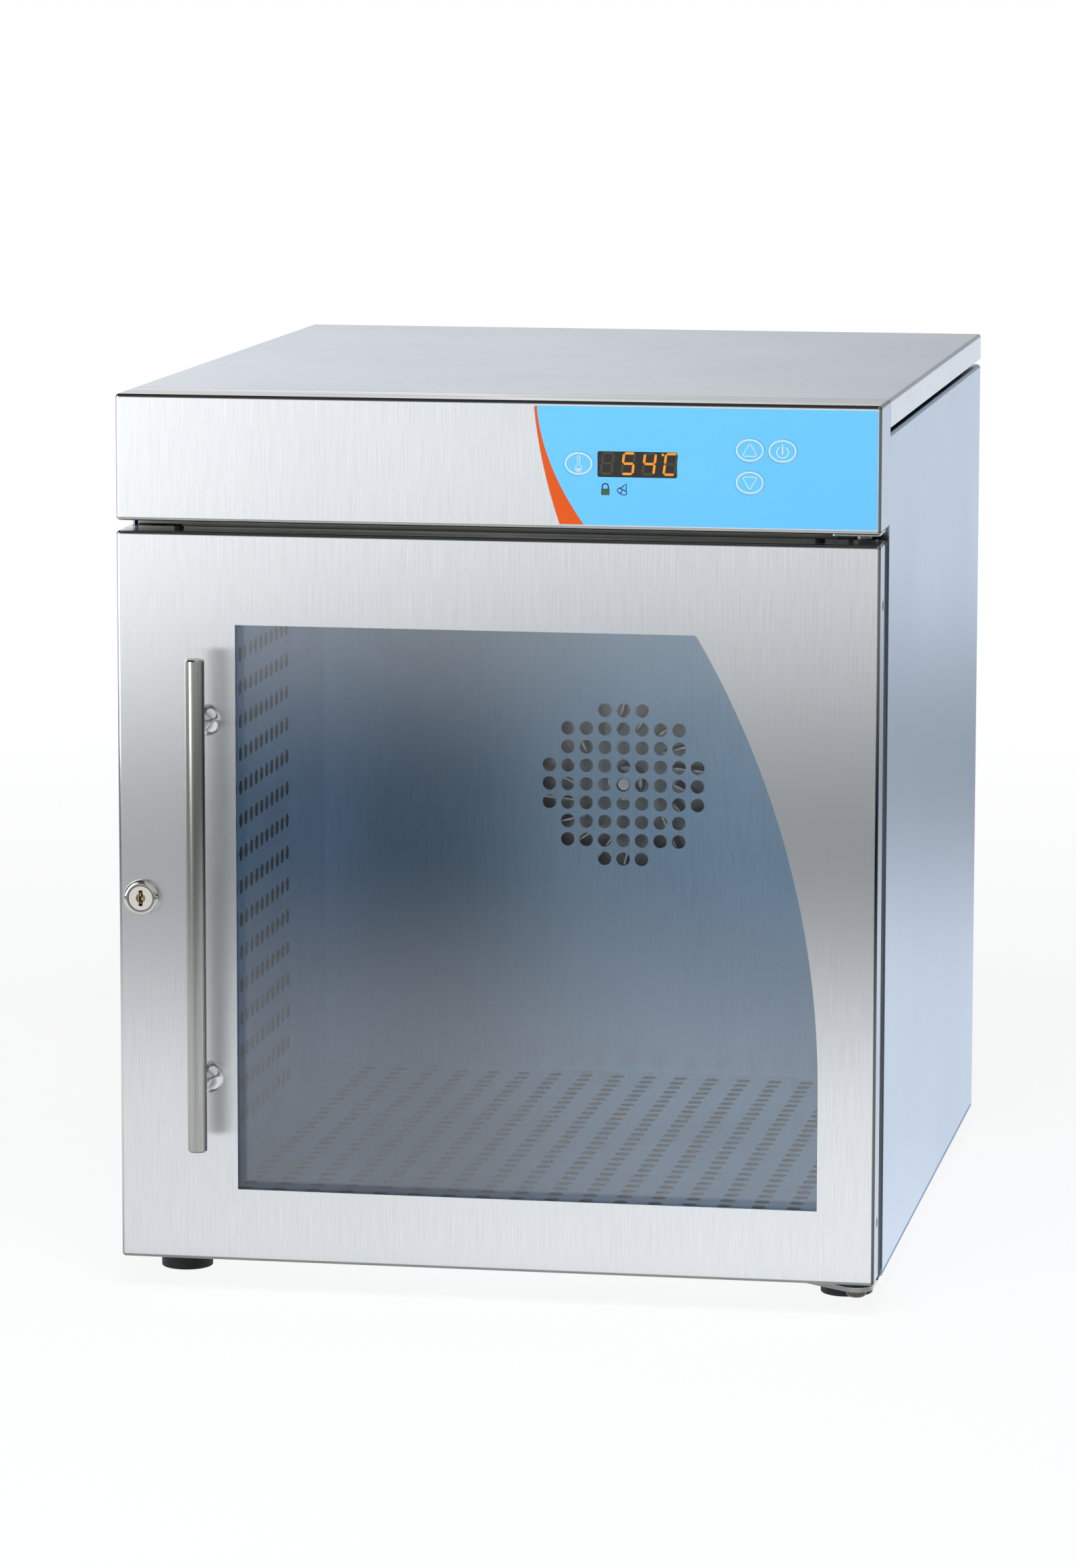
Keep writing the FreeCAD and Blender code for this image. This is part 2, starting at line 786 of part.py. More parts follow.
def control_label():
    """Thin faced panel on the header; its left edge is an arc that leans in towards the bottom."""
    x0 = label_x1 - label_w
    top_left = V(x0, label_z1, 0)
    low_left = V(x0 + label_lean, label_z0, 0)
    low_right = V(label_x1, label_z0, 0)
    top_right = V(label_x1, label_z1, 0)
    arc_mid = V(x0 + label_lean / 2 - label_bow, (label_z0 + label_z1) / 2, 0)
    arc = Part.Arc(top_left, arc_mid, low_left).toShape()
    outline = Part.Wire([arc, Part.makeLine(low_left, low_right), Part.makeLine(low_right, top_right),
                         Part.makeLine(top_right, top_left)])
    film = stand_facing_y(flat_plate(outline, [], label_t), 0)
    spots = [V(p.x, 0, p.y) for p in (top_left, low_left, low_right, top_right)]
    corners = []
    for edge in film.Edges:
        at = V(edge.CenterOfMass.x, 0, edge.CenterOfMass.z)
        if min(at.distanceToPoint(spot) for spot in spots) < 0.01:
            corners.append(edge)
    film = film.makeFillet(label_corner_r, corners)
    holes = [ellipse_plate(key_rx + key_ring_gap, key_ry + key_ring_gap, x, z, -label_t, 0)
             for x, z in key_places().values()]
    window = rounded_window(display_x0, display_x0 + display_w, -label_t, 0, display_z0,
                            display_z0 + display_h, display_corner_r)
    return film.cut(holes + [window])


def display_window():
    return rounded_window(display_x0, display_x0 + display_w, -label_t, 0, display_z0,
                          display_z0 + display_h, display_corner_r)


def display_module():
    """Digit display on the board, right behind the header's opening."""
    middle = display_z0 + display_h / 2
    return block(display_x0, display_x0 + display_w, sheet, board_y,
                 middle - module_h / 2, middle + module_h / 2)


def control_board():
    """Circuit board on four spacers behind the header's face, with its relay and plug."""
    x1 = half_w - board_right
    x0 = x1 - board_w
    z0 = header_z + board_margin
    z1 = top_z - board_margin
    board = block(x0, x1, board_y, board_y + board_t, z0, z1)
    spacers = [rod(spacer_r, (x, sheet, z), (x, board_y, z))
               for x in (x0 + spacer_inset, x1 - spacer_inset)
               for z in (z0 + spacer_inset, z1 - spacer_inset)]
    rear_y = board_y + board_t
    relay_x = x0 + relay_in
    relay_z = z0 + relay_up
    relay = block(relay_x, relay_x + relay_w, rear_y, rear_y + relay_size, relay_z, relay_z + relay_size)
    plug = block(wire_cross_x - board_plug_w / 2, wire_cross_x + board_plug_w / 2, rear_y, board_plug_y,
                 wire_cross_z - board_plug_h / 2, wire_cross_z + board_plug_h / 2)
    return [board] + spacers + [relay, plug]


def tact_switches():
    """One small dome switch on the board behind each key."""
    switches = []
    for x, z in key_places().values():
        body = block(x - switch_half, x + switch_half, board_y - switch_body_t, board_y,
                     z - switch_half, z + switch_half)
        plunger = rod(plunger_r, (x, key_stem_end_y + key_travel + running_gap, z),
                      (x, board_y - switch_body_t / 2, z))
        switches.append(joined(body, plunger))
    return switches


def key(x, z):
    """Elliptical key face with a stem through the header to its switch."""
    face_y = -label_t - key_proud
    face = ellipse_plate(key_rx, key_ry, x, z, face_y, face_y + key_t)
    return joined(face, rod(key_stem_r, (x, face_y + key_t / 2, z), (x, key_stem_end_y, z)))


def power_supply():
    return block(supply_x, supply_x + supply_size[0], supply_y, supply_y + supply_size[1], shelf_z + sheet,
                 shelf_z + sheet + supply_size[2])


def terminal_block():
    """Row of screw terminals on the shelf."""
    z0 = shelf_z + sheet
    z1 = z0 + terminal_size[2]
    x1 = terminal_x + terminal_size[0]
    mid_y = terminal_y + terminal_size[1] / 2
    body = block(terminal_x, x1, terminal_y, terminal_y + terminal_size[1], z0, z1)
    wells = [rod(terminal_well_r, (x, mid_y, z1 - terminal_well_t), (x, mid_y, z1))
             for x in steps(terminal_x + terminal_pitch / 2, x1 - terminal_pitch / 2, terminal_pitch)]
    return body.cut(wells)


def power_inlet():
    """Three-pin appliance inlet clipped into the back panel."""
    x0 = inlet_at - inlet_w / 2
    x1 = inlet_at + inlet_w / 2
    z0 = inlet_z - inlet_h / 2
    z1 = inlet_z + inlet_h / 2
    rear = cabinet_depth + inlet_flange_t
    floor_y = cabinet_depth - inlet_depth + inlet_wall
    shell = block(x0, x1, cabinet_depth - inlet_depth, rear, z0, z1)
    flange = block(x0 - inlet_flange, x1 + inlet_flange, cabinet_depth, rear,
                   z0 - inlet_flange, z1 + inlet_flange)
    well = block(x0 + inlet_wall, x1 - inlet_wall, floor_y, rear, z0 + inlet_wall, z1 - inlet_wall)
    pins = [block(inlet_at + dx - inlet_pin_t / 2, inlet_at + dx + inlet_pin_t / 2, floor_y - inlet_wall,
                  rear - inlet_pin_setback, inlet_z + dz - inlet_pin_w / 2, inlet_z + dz + inlet_pin_w / 2)
            for dx, dz in inlet_pins]
    return joined(joined(shell, flange).cut(well), *pins)


# ---------- door ----------
def window_tool(y0, y1):
    """The glazed opening: square corners but for the upper hinge side, which is a long arc."""
    arc_z = glass_z0 + window_straight
    centre_x = glass_x1 - window_arc_r
    top_x = centre_x + math.sqrt(window_arc_r ** 2 - (glass_z1 - arc_z) ** 2)
    mid_z = (arc_z + glass_z1) / 2
    mid_x = centre_x + math.sqrt(window_arc_r ** 2 - (mid_z - arc_z) ** 2)
    side_foot = V(glass_x1, glass_z0, 0)
    side_top_point = V(glass_x1, arc_z, 0)
    arc_end = V(top_x, glass_z1, 0)
    low_left = V(glass_x0, glass_z0, 0)
    top_left = V(glass_x0, glass_z1, 0)
    outline = Part.Wire([
        Part.makeLine(low_left, side_foot),
        Part.makeLine(side_foot, side_top_point),
        Part.Arc(side_top_point, V(mid_x, mid_z, 0), arc_end).toShape(),
        Part.makeLine(arc_end, top_left),
        Part.makeLine(top_left, low_left),
    ])
    tool = stand_facing_y(flat_plate(outline, [], y1 - y0), y1)
    tip = [edge for edge in tool.Edges
           if abs(edge.CenterOfMass.x - top_x) < 0.01 and abs(edge.CenterOfMass.z - glass_z1) < 0.01]
    return tool.makeFillet(window_corner_r, tip)


def barrel_shape(y0, y1):
    """Round lock barrel with a flat on each side."""
    barrel = rod(barrel_r, (lock_at, y0, door_mid), (lock_at, y1, door_mid))
    return barrel.common(block(lock_at - barrel_flat, lock_at + barrel_flat, y0, y1,
                               door_mid - barrel_r, door_mid + barrel_r))


def handle_post_places():
    return [door_mid - post_pitch / 2, door_mid + post_pitch / 2]


def handle_screws():
    screws = []
    for z in handle_post_places():
        head = rod(handle_screw_head_r, (handle_at, sheet, z), (handle_at, sheet + handle_screw_head_t, z))
        shank = rod(handle_screw_r, (handle_at, sheet, z), (handle_at, -handle_screw_len, z))
        screws.append(joined(head, shank))
    return screws


def upright(r, z0, z1):
    """Round bar on the door's pivot line."""
    return rod(r, (pivot_x, pivot_y, z0), (pivot_x, pivot_y, z1))


def hinge_bushings():
    """Flanged plastic bushes pressed into the door's top and bottom at the pivot."""
    low_z = door_z0 - bush_flange_t
    high_z = door_z1 + bush_flange_t
    low = joined(upright(bush_r, low_z, door_z0 + bush_len), upright(bush_flange_r, low_z, door_z0))
    high = joined(upright(bush_r, door_z1 - bush_len, high_z), upright(bush_flange_r, door_z1, high_z))
    bore = upright(pin_r + running_gap, low_z, high_z)
    return [low.cut(bore), high.cut(bore)]


def door_screws():
    """Countersunk screws in the door's two sides and pan heads on its top."""
    screws = []
    for side in (-1, 1):
        for z in (door_z0 + side_screw_low, door_z1 - side_screw_high):
            outer = V(side * half_w, side_screw_y, z)
            inward = V(-side, 0, 0)
            cone = Part.makeCone(door_screw_head_r, door_screw_r, door_screw_head_t, outer, inward)
            shank = Part.makeCylinder(door_screw_r, door_screw_len, outer, inward)
            screws.append(joined(cone, shank))
    for x in (top_screw_left - half_w, half_w - top_screw_right):
        screws.append(pan_head_screw(door_screw_r, door_screw_head_r, door_screw_head_t,
                                     door_screw_len, (x, top_screw_y, door_z1), (0, 0, 1)))
    return screws


def door_fittings():
    """Everything that passes through both sheets of the door."""
    return [upright(bush_r, z, z + bush_len) for z in (door_z0, door_z1 - bush_len)] + door_screws()


def side_band(y0, y1):
    """Strip of the right side where the fold stops short and the gasket wraps the door's edge."""
    return block(half_w - sheet, half_w, y0, y1, seal_low_z, door_z1 - bend_r)


def door_skin(fittings):
    """Outer door sheet, folded back on all four sides; the two side folds are the shorter ones."""
    skin = folded((-half_w, half_w), (0, door_t), (door_z0, door_z1), ("y0", "x0", "x1", "z0", "z1"),
                  sheet, bend_r)
    band = side_band(skin_side_fold, door_t)
    skin = skin.cut([band, other_side(band)])
    posts = [rod(handle_screw_r, (handle_at, 0, z), (handle_at, sheet, z)) for z in handle_post_places()]
    return skin.cut([window_tool(0, sheet), barrel_shape(0, sheet)] + posts + fittings)


def door_inner_pan(fittings):
    """Inner door sheet, nested in the outer one, with a return round the glass."""
    edge = half_w - sheet
    pan = folded((-edge, edge), (door_t - pan_fold, door_t), (door_z0 + sheet, door_z1 - sheet),
                 ("y1", "x0", "x1", "z0", "z1"), liner, pan_r)
    lap = pan_lap + liner
    hole = block(glass_x0 - pan_lap, glass_x1 + pan_lap, 0, door_t, glass_z0 - pan_lap, glass_z1 + pan_lap)
    lip = frame_ring(glass_x0 - lap, glass_x1 + lap, glass_back_y, door_t,
                     glass_z0 - lap, glass_z1 + lap, liner)
    slot_half = strike_h / 2 + strike_slot_end
    slot = block(strike_x - strike_slot_w / 2, strike_x + strike_slot_w / 2, door_t - liner, door_t,
                 door_mid - slot_half, door_mid + slot_half)
    return joined(pan, lip).cut([hole, slot] + fittings)


def window_panes():
    """Double glazing: two clear panes."""
    return [block(glass_x0 - glass_lap, glass_x1 + glass_lap, y, y + glass_t, glass_z0 - glass_lap,
                  glass_z1 + glass_lap) for y in (sheet, inner_glass_y)]


def glazing_spacer():
    return frame_ring(glass_x0 - glass_lap, glass_x1 + glass_lap, sheet + glass_t, inner_glass_y,
                      glass_z0 - glass_lap, glass_z1 + glass_lap, spacer_w)


def door_gasket():
    """Magnetic seal strip round the back of the door; along the sides it also wraps the edge.

    The side strips are rounded at the back so that they clear the frame when the door turns, and
    their tops are trimmed to the circle that clears the upper hinge plate's leg."""
    edge = half_w - seal_inset
    z0 = door_z0 + seal_inset
    z1 = door_z1 - seal_inset
    seal = frame_ring(-edge, edge, door_t, seal_back_y, z0, z1, seal_w)
    rear = [rim for rim in seal.Edges if abs(rim.CenterOfMass.y - seal_back_y) < 1e-6]
    seal = seal.makeFillet(seal_edge_r, rear)
    top_z1 = door_z1 - seal_top_gap
    strip = block(edge - seal_w / 2, half_w, door_t, seal_back_y, seal_low_z, top_z1)
    strip = strip.makeFillet(seal_side_r, edges_between(strip, [("x", half_w), ("y", seal_back_y)]))
    top_room = block(edge - seal_w, half_w, door_t, front_depth, z1, top_z1).cut(upright(seal_top_r, z1, top_z1))
    strip = strip.cut(top_room)
    right = joined(strip, side_band(skin_side_fold, door_t))
    strike_room = block(strike_x - strike_slot_w / 2, strike_x + strike_slot_w / 2 + strike_foot_w, door_t,
                        seal_back_y, door_mid - strike_h / 2 - strike_slot_end,
                        door_mid + strike_h / 2 + strike_slot_end)
    left = other_side(right).cut(strike_room)
    return joined(seal, right, left)


def handle_bar():
    bar = rod(handle_r, (handle_at, -handle_reach, door_mid - handle_len / 2),
              (handle_at, -handle_reach, door_mid + handle_len / 2))
    ends = [edge for edge in bar.Edges if abs(abs(edge.CenterOfMass.z - door_mid) - handle_len / 2) < 1e-6]
    return bar.makeChamfer(handle_chamfer, ends)


def handle_posts():
    """Two turned posts: a foot on the door, a flare, and a neck up to the bar."""
    flare = post_base_r - post_r
    corner = post_base_t + flare
    bar = rod(handle_r, (handle_at, -handle_reach, door_mid - handle_len),
              (handle_at, -handle_reach, door_mid + handle_len))
    posts = []
    for z in handle_post_places():
        body = joined(rod(post_base_r, (handle_at, 0, z), (handle_at, -corner, z)),
                      rod(post_r, (handle_at, 0, z), (handle_at, -handle_reach, z)))
        hollow = Part.makeTorus(post_base_r, flare, V(handle_at, -corner, z), V(0, 1, 0))
        hole = rod(handle_screw_r, (handle_at, 0, z), (handle_at, -handle_screw_len, z))
        posts.append(body.cut([hollow, bar, hole]))
    return posts


# ---------- cam lock ----------
def lock_housing():
    """Chromed lock case: a domed collar on the door's face and a threaded barrel behind it."""
    collar = rod(collar_r, (lock_at, -collar_t, door_mid), (lock_at, 0, door_mid))
    rim = [edge for edge in collar.Edges if abs(edge.CenterOfMass.y + collar_t) < 1e-6]
    collar = collar.makeFillet(collar_t * 0.5, rim)
    bore = rod(plug_r + plug_gap, (lock_at, -collar_t, door_mid), (lock_at, barrel_len, door_mid))
    return joined(collar, barrel_shape(-barrel_in_collar, barrel_len)).cut(bore)


def lock_nut():
    """Thin hexagon nut that clamps the lock to the door."""
    corners = [V(lock_at + lock_nut_r * math.cos(math.radians(60 * i)),
                 sheet, door_mid + lock_nut_r * math.sin(math.radians(60 * i))) for i in range(7)]
    hexagon = Part.Face(Part.makePolygon(corners)).extrude(V(0, lock_nut_t, 0))
    return hexagon.cut(barrel_shape(sheet, sheet + lock_nut_t))


def lock_plug():
    """Key plug with its keyway, and a square tail for the cam."""
    front = -collar_t + plug_recess
    body = rod(plug_r, (lock_at, front, door_mid), (lock_at, barrel_len + part_gap, door_mid))
    tail = block(lock_at - tail_half, lock_at + tail_half, barrel_len, barrel_len + part_gap + tail_len,
                 door_mid - tail_half, door_mid + tail_half)
    well = rod(key_well_r, (lock_at, front, door_mid), (lock_at, front + key_well_t, door_mid))
    keyway = block(lock_at - keyway_w / 2, lock_at + keyway_w / 2, front, front + keyway_t,
                   door_mid - keyway_h / 2, door_mid + keyway_h / 2)
    return joined(body, tail).cut([well, keyway])


def cam_y():
    return barrel_len + part_gap


def lock_cam():
    """Flat cam on the plug's tail; it hangs down when unlocked."""
    y0 = cam_y()
    y1 = y0 + cam_t
    heel = rod(plug_r, (lock_at, y0, door_mid), (lock_at, y1, door_mid))
    arm = block(lock_at - cam_tip_r, lock_at + cam_tip_r, y0, y1, door_mid - cam_reach, door_mid)
    tip = rod(cam_tip_r, (lock_at, y0, door_mid - cam_reach), (lock_at, y1, door_mid - cam_reach))
    hole = block(lock_at - tail_half, lock_at + tail_half, y0, y1, door_mid - tail_half, door_mid + tail_half)
    return joined(heel, arm, tip).cut(hole)


def lock_cam_nut():
    y0 = cam_y() + cam_t
    nut = rod(cam_nut_r, (lock_at, y0, door_mid), (lock_at, y0 + cam_nut_t, door_mid))
    return nut.cut(block(lock_at - tail_half, lock_at + tail_half, y0, y0 + cam_nut_t, door_mid - tail_half,
                         door_mid + tail_half))


def latch_strike():
    """Steel tongue on the front post, with a window that the cam turns into."""
    z0 = door_mid - strike_h / 2
    z1 = door_mid + strike_h / 2
    web = block(strike_x - sheet / 2, strike_x + sheet / 2, strike_front_y, front_depth, z0, z1)
    foot = block(strike_x - sheet / 2, strike_x + sheet / 2 + strike_foot_w,
                 front_depth - strike_foot_t, front_depth, z0, z1)
    window = block(strike_x - sheet, strike_x + sheet, strike_window_y, strike_window_y + strike_window_t,
                   door_mid - strike_window_h / 2, door_mid + strike_window_h / 2)
    return joined(web, foot).cut(window)


# ---------- hinges ----------
def hinge_bracket_top():
    """Plate under the header with a leg welded to the rail behind the door."""
    x1 = pivot_x + bracket_top_end
    x0 = x1 - bracket_top_w
    plate = block(x0, x1, bracket_top_y, front_depth, bracket_top_z, header_z)
    leg = block(x0, x1, front_depth - bracket_leg_t, front_depth, bracket_top_z - bracket_leg_h, header_z)
    corners = edges_between(plate, [("x", x0), ("x", x1), ("y", bracket_top_y)])
    plate = plate.makeFillet(bracket_corner_r, corners)
    return joined(plate, leg).cut(upright(pin_r, bracket_top_z, header_z))


def bracket_bolt_places():
    root_x = foot_at - foot_r - bracket_gap
    return [(root_x - bracket_root_w / 2, foot_front_y), (foot_at, front_depth + bend_r + bracket_nut_r)]


def hinge_bracket_bottom(bolts):
    """Plate bolted under the base, tapering to a round end under the door's pivot."""
    reach_y = foot_front_y - foot_r - bracket_gap
    root_x = foot_at - foot_r - bracket_gap
    root_y = foot_front_y + bracket_root_y
    left_x = root_x - bracket_root_w
    left = V(left_x, frame_y, 0)
    centre = V(pivot_x, pivot_y, 0)
    away = left - centre
    lean = math.atan2(away.y, away.x) - math.acos(bracket_tip_r / away.Length)
    touch = centre + V(math.cos(lean + 2 * math.acos(bracket_tip_r / away.Length)),
                       math.sin(lean + 2 * math.acos(bracket_tip_r / away.Length)), 0) * bracket_tip_r
    right = centre + V(bracket_tip_r, 0, 0)
    bottom = centre + V(0, -bracket_tip_r, 0)
    right_x = right.x
    edges = [
        Part.makeLine(V(left_x, root_y, 0), left),
        Part.makeLine(left, touch),
        Part.Arc(touch, bottom, right).toShape(),
        Part.makeLine(right, V(right_x, reach_y, 0)),
        Part.makeLine(V(right_x, reach_y, 0), V(root_x, reach_y, 0)),
        Part.makeLine(V(root_x, reach_y, 0), V(root_x, root_y, 0)),
        Part.makeLine(V(root_x, root_y, 0), V(left_x, root_y, 0)),
    ]
    plate = Part.Face(Part.Wire(edges)).extrude(V(0, 0, bracket_t))
    plate.translate(V(0, 0, bracket_z0))
    return plate.cut([upright(pin_r, bracket_z0, base_z)] + bolts)


def hinge_pins():
    """Upper pin pressed into its plate; lower pivot bolt with a domed head underneath."""
    upper = upright(pin_r, door_z1 - bush_len, header_z)
    head = upright(bolt_head_r, bracket_z0 - bolt_head_h, bracket_z0)
    rim = [edge for edge in head.Edges if abs(edge.CenterOfMass.z - bracket_z0 + bolt_head_h) < 1e-6]
    head = head.makeFillet(bolt_head_h * 0.6, rim)
    lower = joined(head, upright(pin_r, bracket_z0, door_z0 + bush_len))
    return [upper, lower]


def thrust_washer():
    top = door_z0 - bush_flange_t - part_gap
    return upright(bush_flange_r, base_z, top).cut(upright(pin_r, base_z, top))


# ---------- feet ----------
def foot_places():
    return [(x, y) for x in (-foot_at, foot_at) for y in (foot_front_y, foot_rear_y)]


def rubber_feet():
    feet = []
    for x, y in foot_places():
        foot = rod(foot_r, (x, y, 0), (x, y, base_z))
        rim = [edge for edge in foot.Edges if abs(edge.CenterOfMass.z) < 1e-6]
        foot = foot.makeFillet(foot_edge_r, rim)
        recess = rod(foot_recess_r, (x, y, 0), (x, y, foot_recess))
        hole = rod(foot_screw_r, (x, y, 0), (x, y, base_z))
        feet.append(foot.cut([recess, hole]))
    return feet


def screw_and_nut(r, head_r, wide_r, x, y, seat_z):
    """Bolt up through the base from seat_z, with its nut on the base plate."""
    head = rod(head_r, (x, y, seat_z - foot_head_t), (x, y, seat_z))
    shank = rod(r, (x, y, seat_z), (x, y, base_top + nut_h + screw_past_nut))
    nut = tube(wide_r, r, (x, y, base_top), (x, y, base_top + nut_h))
    return [joined(head, shank), nut]


def foot_screws():
    pieces = []
    for x, y in foot_places():
        pieces += screw_and_nut(foot_screw_r, foot_head_r, nut_r, x, y, foot_recess)
    for x, y in bracket_bolt_places():
        pieces += screw_and_nut(bracket_bolt_r, bracket_head_r, bracket_nut_r, x, y, bracket_z0)
    return pieces


# ---------- wiring ----------
def wiring():
    """Leads between the inlet, terminals, supply, board, heater and fan motor."""
    deck = shelf_z + sheet
    low = deck + wire_r + wire_floor_gap
    high = deck + wire_rise
    block_mid_y = terminal_y + terminal_size[1] / 2
    block_back_y = terminal_y + terminal_size[1]
    block_x1 = terminal_x + terminal_size[0]
    supply_mid = supply_y + supply_size[1] / 2
    supply_x1 = supply_x + supply_size[0]
    inlet_back = cabinet_depth - inlet_depth
    heater_x = wire_drop_x + wire_spread
    motor_x = wire_drop_x - wire_spread
    motor_y = (batt_back_y + batt_back_t + batt_back_y + motor_len) / 2
    turn_x = terminal_x - wire_supply_out
    supply_low = supply_mid - wire_supply_off
    supply_front = supply_mid - wire_board_off
    heater_out = terminal_x + heater_lead_x
    motor_out = terminal_x + motor_lead_x
    turn_y = block_back_y + wire_turn
    return [
        lead([(inlet_at, inlet_back, inlet_z), (inlet_at, block_mid_y, inlet_z),
              (inlet_at - wire_inlet_in, block_mid_y, high), (block_x1, block_mid_y, high)], wire_r),
        lead([(terminal_x, block_mid_y, low), (turn_x, block_mid_y, low),
              (turn_x - wire_turn / 2, supply_mid, low), (supply_x1, supply_mid, low)], wire_r),
        lead([(supply_x1, supply_low, high), (0.0, supply_low, high),
              (wire_cross_x, supply_front, wire_cross_z),
              (wire_cross_x, board_plug_y, wire_cross_z)], wire_r),
        lead([(heater_out, block_back_y, high), (heater_out, turn_y, high), (heater_x, wire_drop_y, high),
              (heater_x, wire_drop_y, heater_leg_z + heater_lead_up),
              (heater_leg_x, wire_drop_y, heater_leg_z), (heater_leg_x, heater_leg_y, heater_leg_z)], wire_r),
        lead([(motor_out, block_back_y, high), (motor_out, turn_y, high), (motor_x, wire_drop_y, high),
              (motor_x, wire_drop_y, motor_box_z + motor_lead_up),
              (motor_box_x, motor_y, motor_box_z + motor_lead_up / 2),
              (motor_box_x, motor_y, motor_box_z)], wire_r),
    ]


def build_all():
    rear_screws = case_screws()
    under = foot_screws()
    bolts = [rod(bracket_bolt_r, (x, y, bracket_z0), (x, y, base_top)) for x, y in bracket_bolt_places()]
    base_holes = bolts + [rod(foot_screw_r, (x, y, base_z), (x, y, base_top)) for x, y in foot_places()]
    fittings = door_fittings()
    leg_holes = [rod(heater_tube_r, (x, chamber_back_y, heater_leg_z), (x, heater_leg_y, heater_leg_z))
                 for x in (-heater_leg_x, heater_leg_x)]
    shaft_hole = rod(shaft_r * 2, (0, chamber_back_y, fan_z), (0, batt_back_y, fan_z))
    probe_hole = rod(probe_r, (probe_x, chamber_back_y, probe_z), (probe_x, batt_back_y, probe_z))
    motor_room = rod(motor_flange_r, (0, batt_back_y, fan_z), (0, batt_back_y + batt_back_t, fan_z))
    motor_box_room = block(motor_box_x - motor_box_half, motor_box_x + motor_box_half, batt_back_y,
                           batt_back_y + batt_back_t, fan_z, motor_box_z)
    gland_room = rod(gland_r, (probe_x, batt_back_y, probe_z), (probe_x, batt_back_y + batt_back_t, probe_z))
    thermostat_room = rod(thermostat_r, (thermostat_x, thermostat_y, lintel_z),
                          (thermostat_x, thermostat_y, shelf_z))

    right_side = side_panel(rear_screws)
    save("side_panel_right", right_side)
    save("side_panel_left", other_side(right_side))
    save("base_pan", base_pan(base_holes))
    post = front_post()
    save("front_post_right", post)
    save("front_post_left", other_side(post))
    save("front_rail_top", front_rail_top())
    save("back_panel", back_panel(rear_screws))
    save("rear_rail", rear_rail(rear_screws))
    save("top_cover", top_cover(rear_screws))
    save("control_shelf", control_shelf())
    save("header_housing", header_housing())
    save("case_screws", *rear_screws)

    save("chamber_liner", chamber_liner())
    save("chamber_back", chamber_back(leg_holes + [shaft_hole, probe_hole]))
    duct = duct_panel_right()
    save("duct_panel_right", duct)
    save("duct_panel_left", other_side(duct))
    save("duct_panel_floor", duct_panel_floor())
    save("duct_panel_back", duct_panel_back())
    save("insulation_batts", *insulation_batts(leg_holes + [motor_room, motor_box_room, gland_room,
                                                            thermostat_room]))

    save("fan_motor", fan_motor())
    save("fan_shaft", fan_shaft())
    save("fan_impeller", fan_impeller())
    save("heater_element", heater_element())
    save("temperature_probe", temperature_probe())
    save("high_limit_thermostat", high_limit_thermostat())

    save("control_label", control_label())
    save("display_window", display_window())
    save("display_module", display_module())
    save("control_board", *control_board())
    save("tact_switches", *tact_switches())
    for name, (x, z) in key_places().items():
        save(name, key(x, z))
    save("power_supply", power_supply())
    save("terminal_block", terminal_block())
    save("power_inlet", power_inlet())
    save("wiring", *wiring())

    save("door_skin", door_skin(fittings))
    save("door_inner_pan", door_inner_pan(fittings))
    save("window_panes", *window_panes())
    save("glazing_spacer", glazing_spacer())
    save("door_gasket", door_gasket())
    save("handle_bar", handle_bar())
    save("handle_posts", *handle_posts())
    save("handle_screws", *handle_screws())
    save("door_screws", *door_screws())
    save("hinge_bushings", *hinge_bushings())
    save("lock_housing", lock_housing())
    save("lock_nut", lock_nut())
    save("lock_plug", lock_plug())
    save("lock_cam", lock_cam())
    save("lock_cam_nut", lock_cam_nut())

    save("latch_strike", latch_strike())
    save("hinge_bracket_top", hinge_bracket_top())
    save("hinge_bracket_bottom", hinge_bracket_bottom(bolts))
    save("hinge_pins", *hinge_pins())
    save("thrust_washer", thrust_washer())
    save("rubber_feet", *rubber_feet())
    save("foot_screws", *under)


os.makedirs("parts", exist_ok=True)
build_all()
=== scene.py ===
import math

import bmesh
import bpy
from mathutils import Euler, Matrix, Vector, noise


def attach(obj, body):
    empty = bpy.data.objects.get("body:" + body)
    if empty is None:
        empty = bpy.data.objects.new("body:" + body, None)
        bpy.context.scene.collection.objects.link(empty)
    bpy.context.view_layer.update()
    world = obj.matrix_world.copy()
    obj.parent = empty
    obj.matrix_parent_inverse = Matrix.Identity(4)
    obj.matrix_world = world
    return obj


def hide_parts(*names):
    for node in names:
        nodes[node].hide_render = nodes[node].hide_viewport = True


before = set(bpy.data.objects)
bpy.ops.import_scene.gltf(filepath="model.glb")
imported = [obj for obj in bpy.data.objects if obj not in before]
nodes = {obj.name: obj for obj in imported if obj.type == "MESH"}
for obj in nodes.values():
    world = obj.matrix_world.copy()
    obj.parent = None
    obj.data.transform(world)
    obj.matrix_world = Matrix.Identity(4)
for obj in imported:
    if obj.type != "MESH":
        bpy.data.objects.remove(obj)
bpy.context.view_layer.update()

# ---------- camera ----------
# A long lens at the right front, a little above the cabinet's top. It is turned slightly to the
# left and down; places are in metres, turns in radians and the lens in mm.
view_from = Vector((0.6644, -3.9473, 0.8821))
view_turn = 0.17186
view_dip = 0.14812
view_roll = 0.00152
film_width = 36.0
focal_length = 141.5

lens = bpy.data.cameras.new("camera")
lens.sensor_width = film_width
lens.lens = focal_length
camera = bpy.data.objects.new("camera", lens)
aim = Euler((math.pi / 2 - view_dip, 0, view_turn)).to_matrix() @ Matrix.Rotation(view_roll, 3, "Z")
camera.matrix_world = Matrix.Translation(view_from) @ aim.to_4x4()
bpy.context.scene.collection.objects.link(camera)
bpy.context.scene.camera = camera
bpy.context.scene.view_settings.view_transform = "Standard"


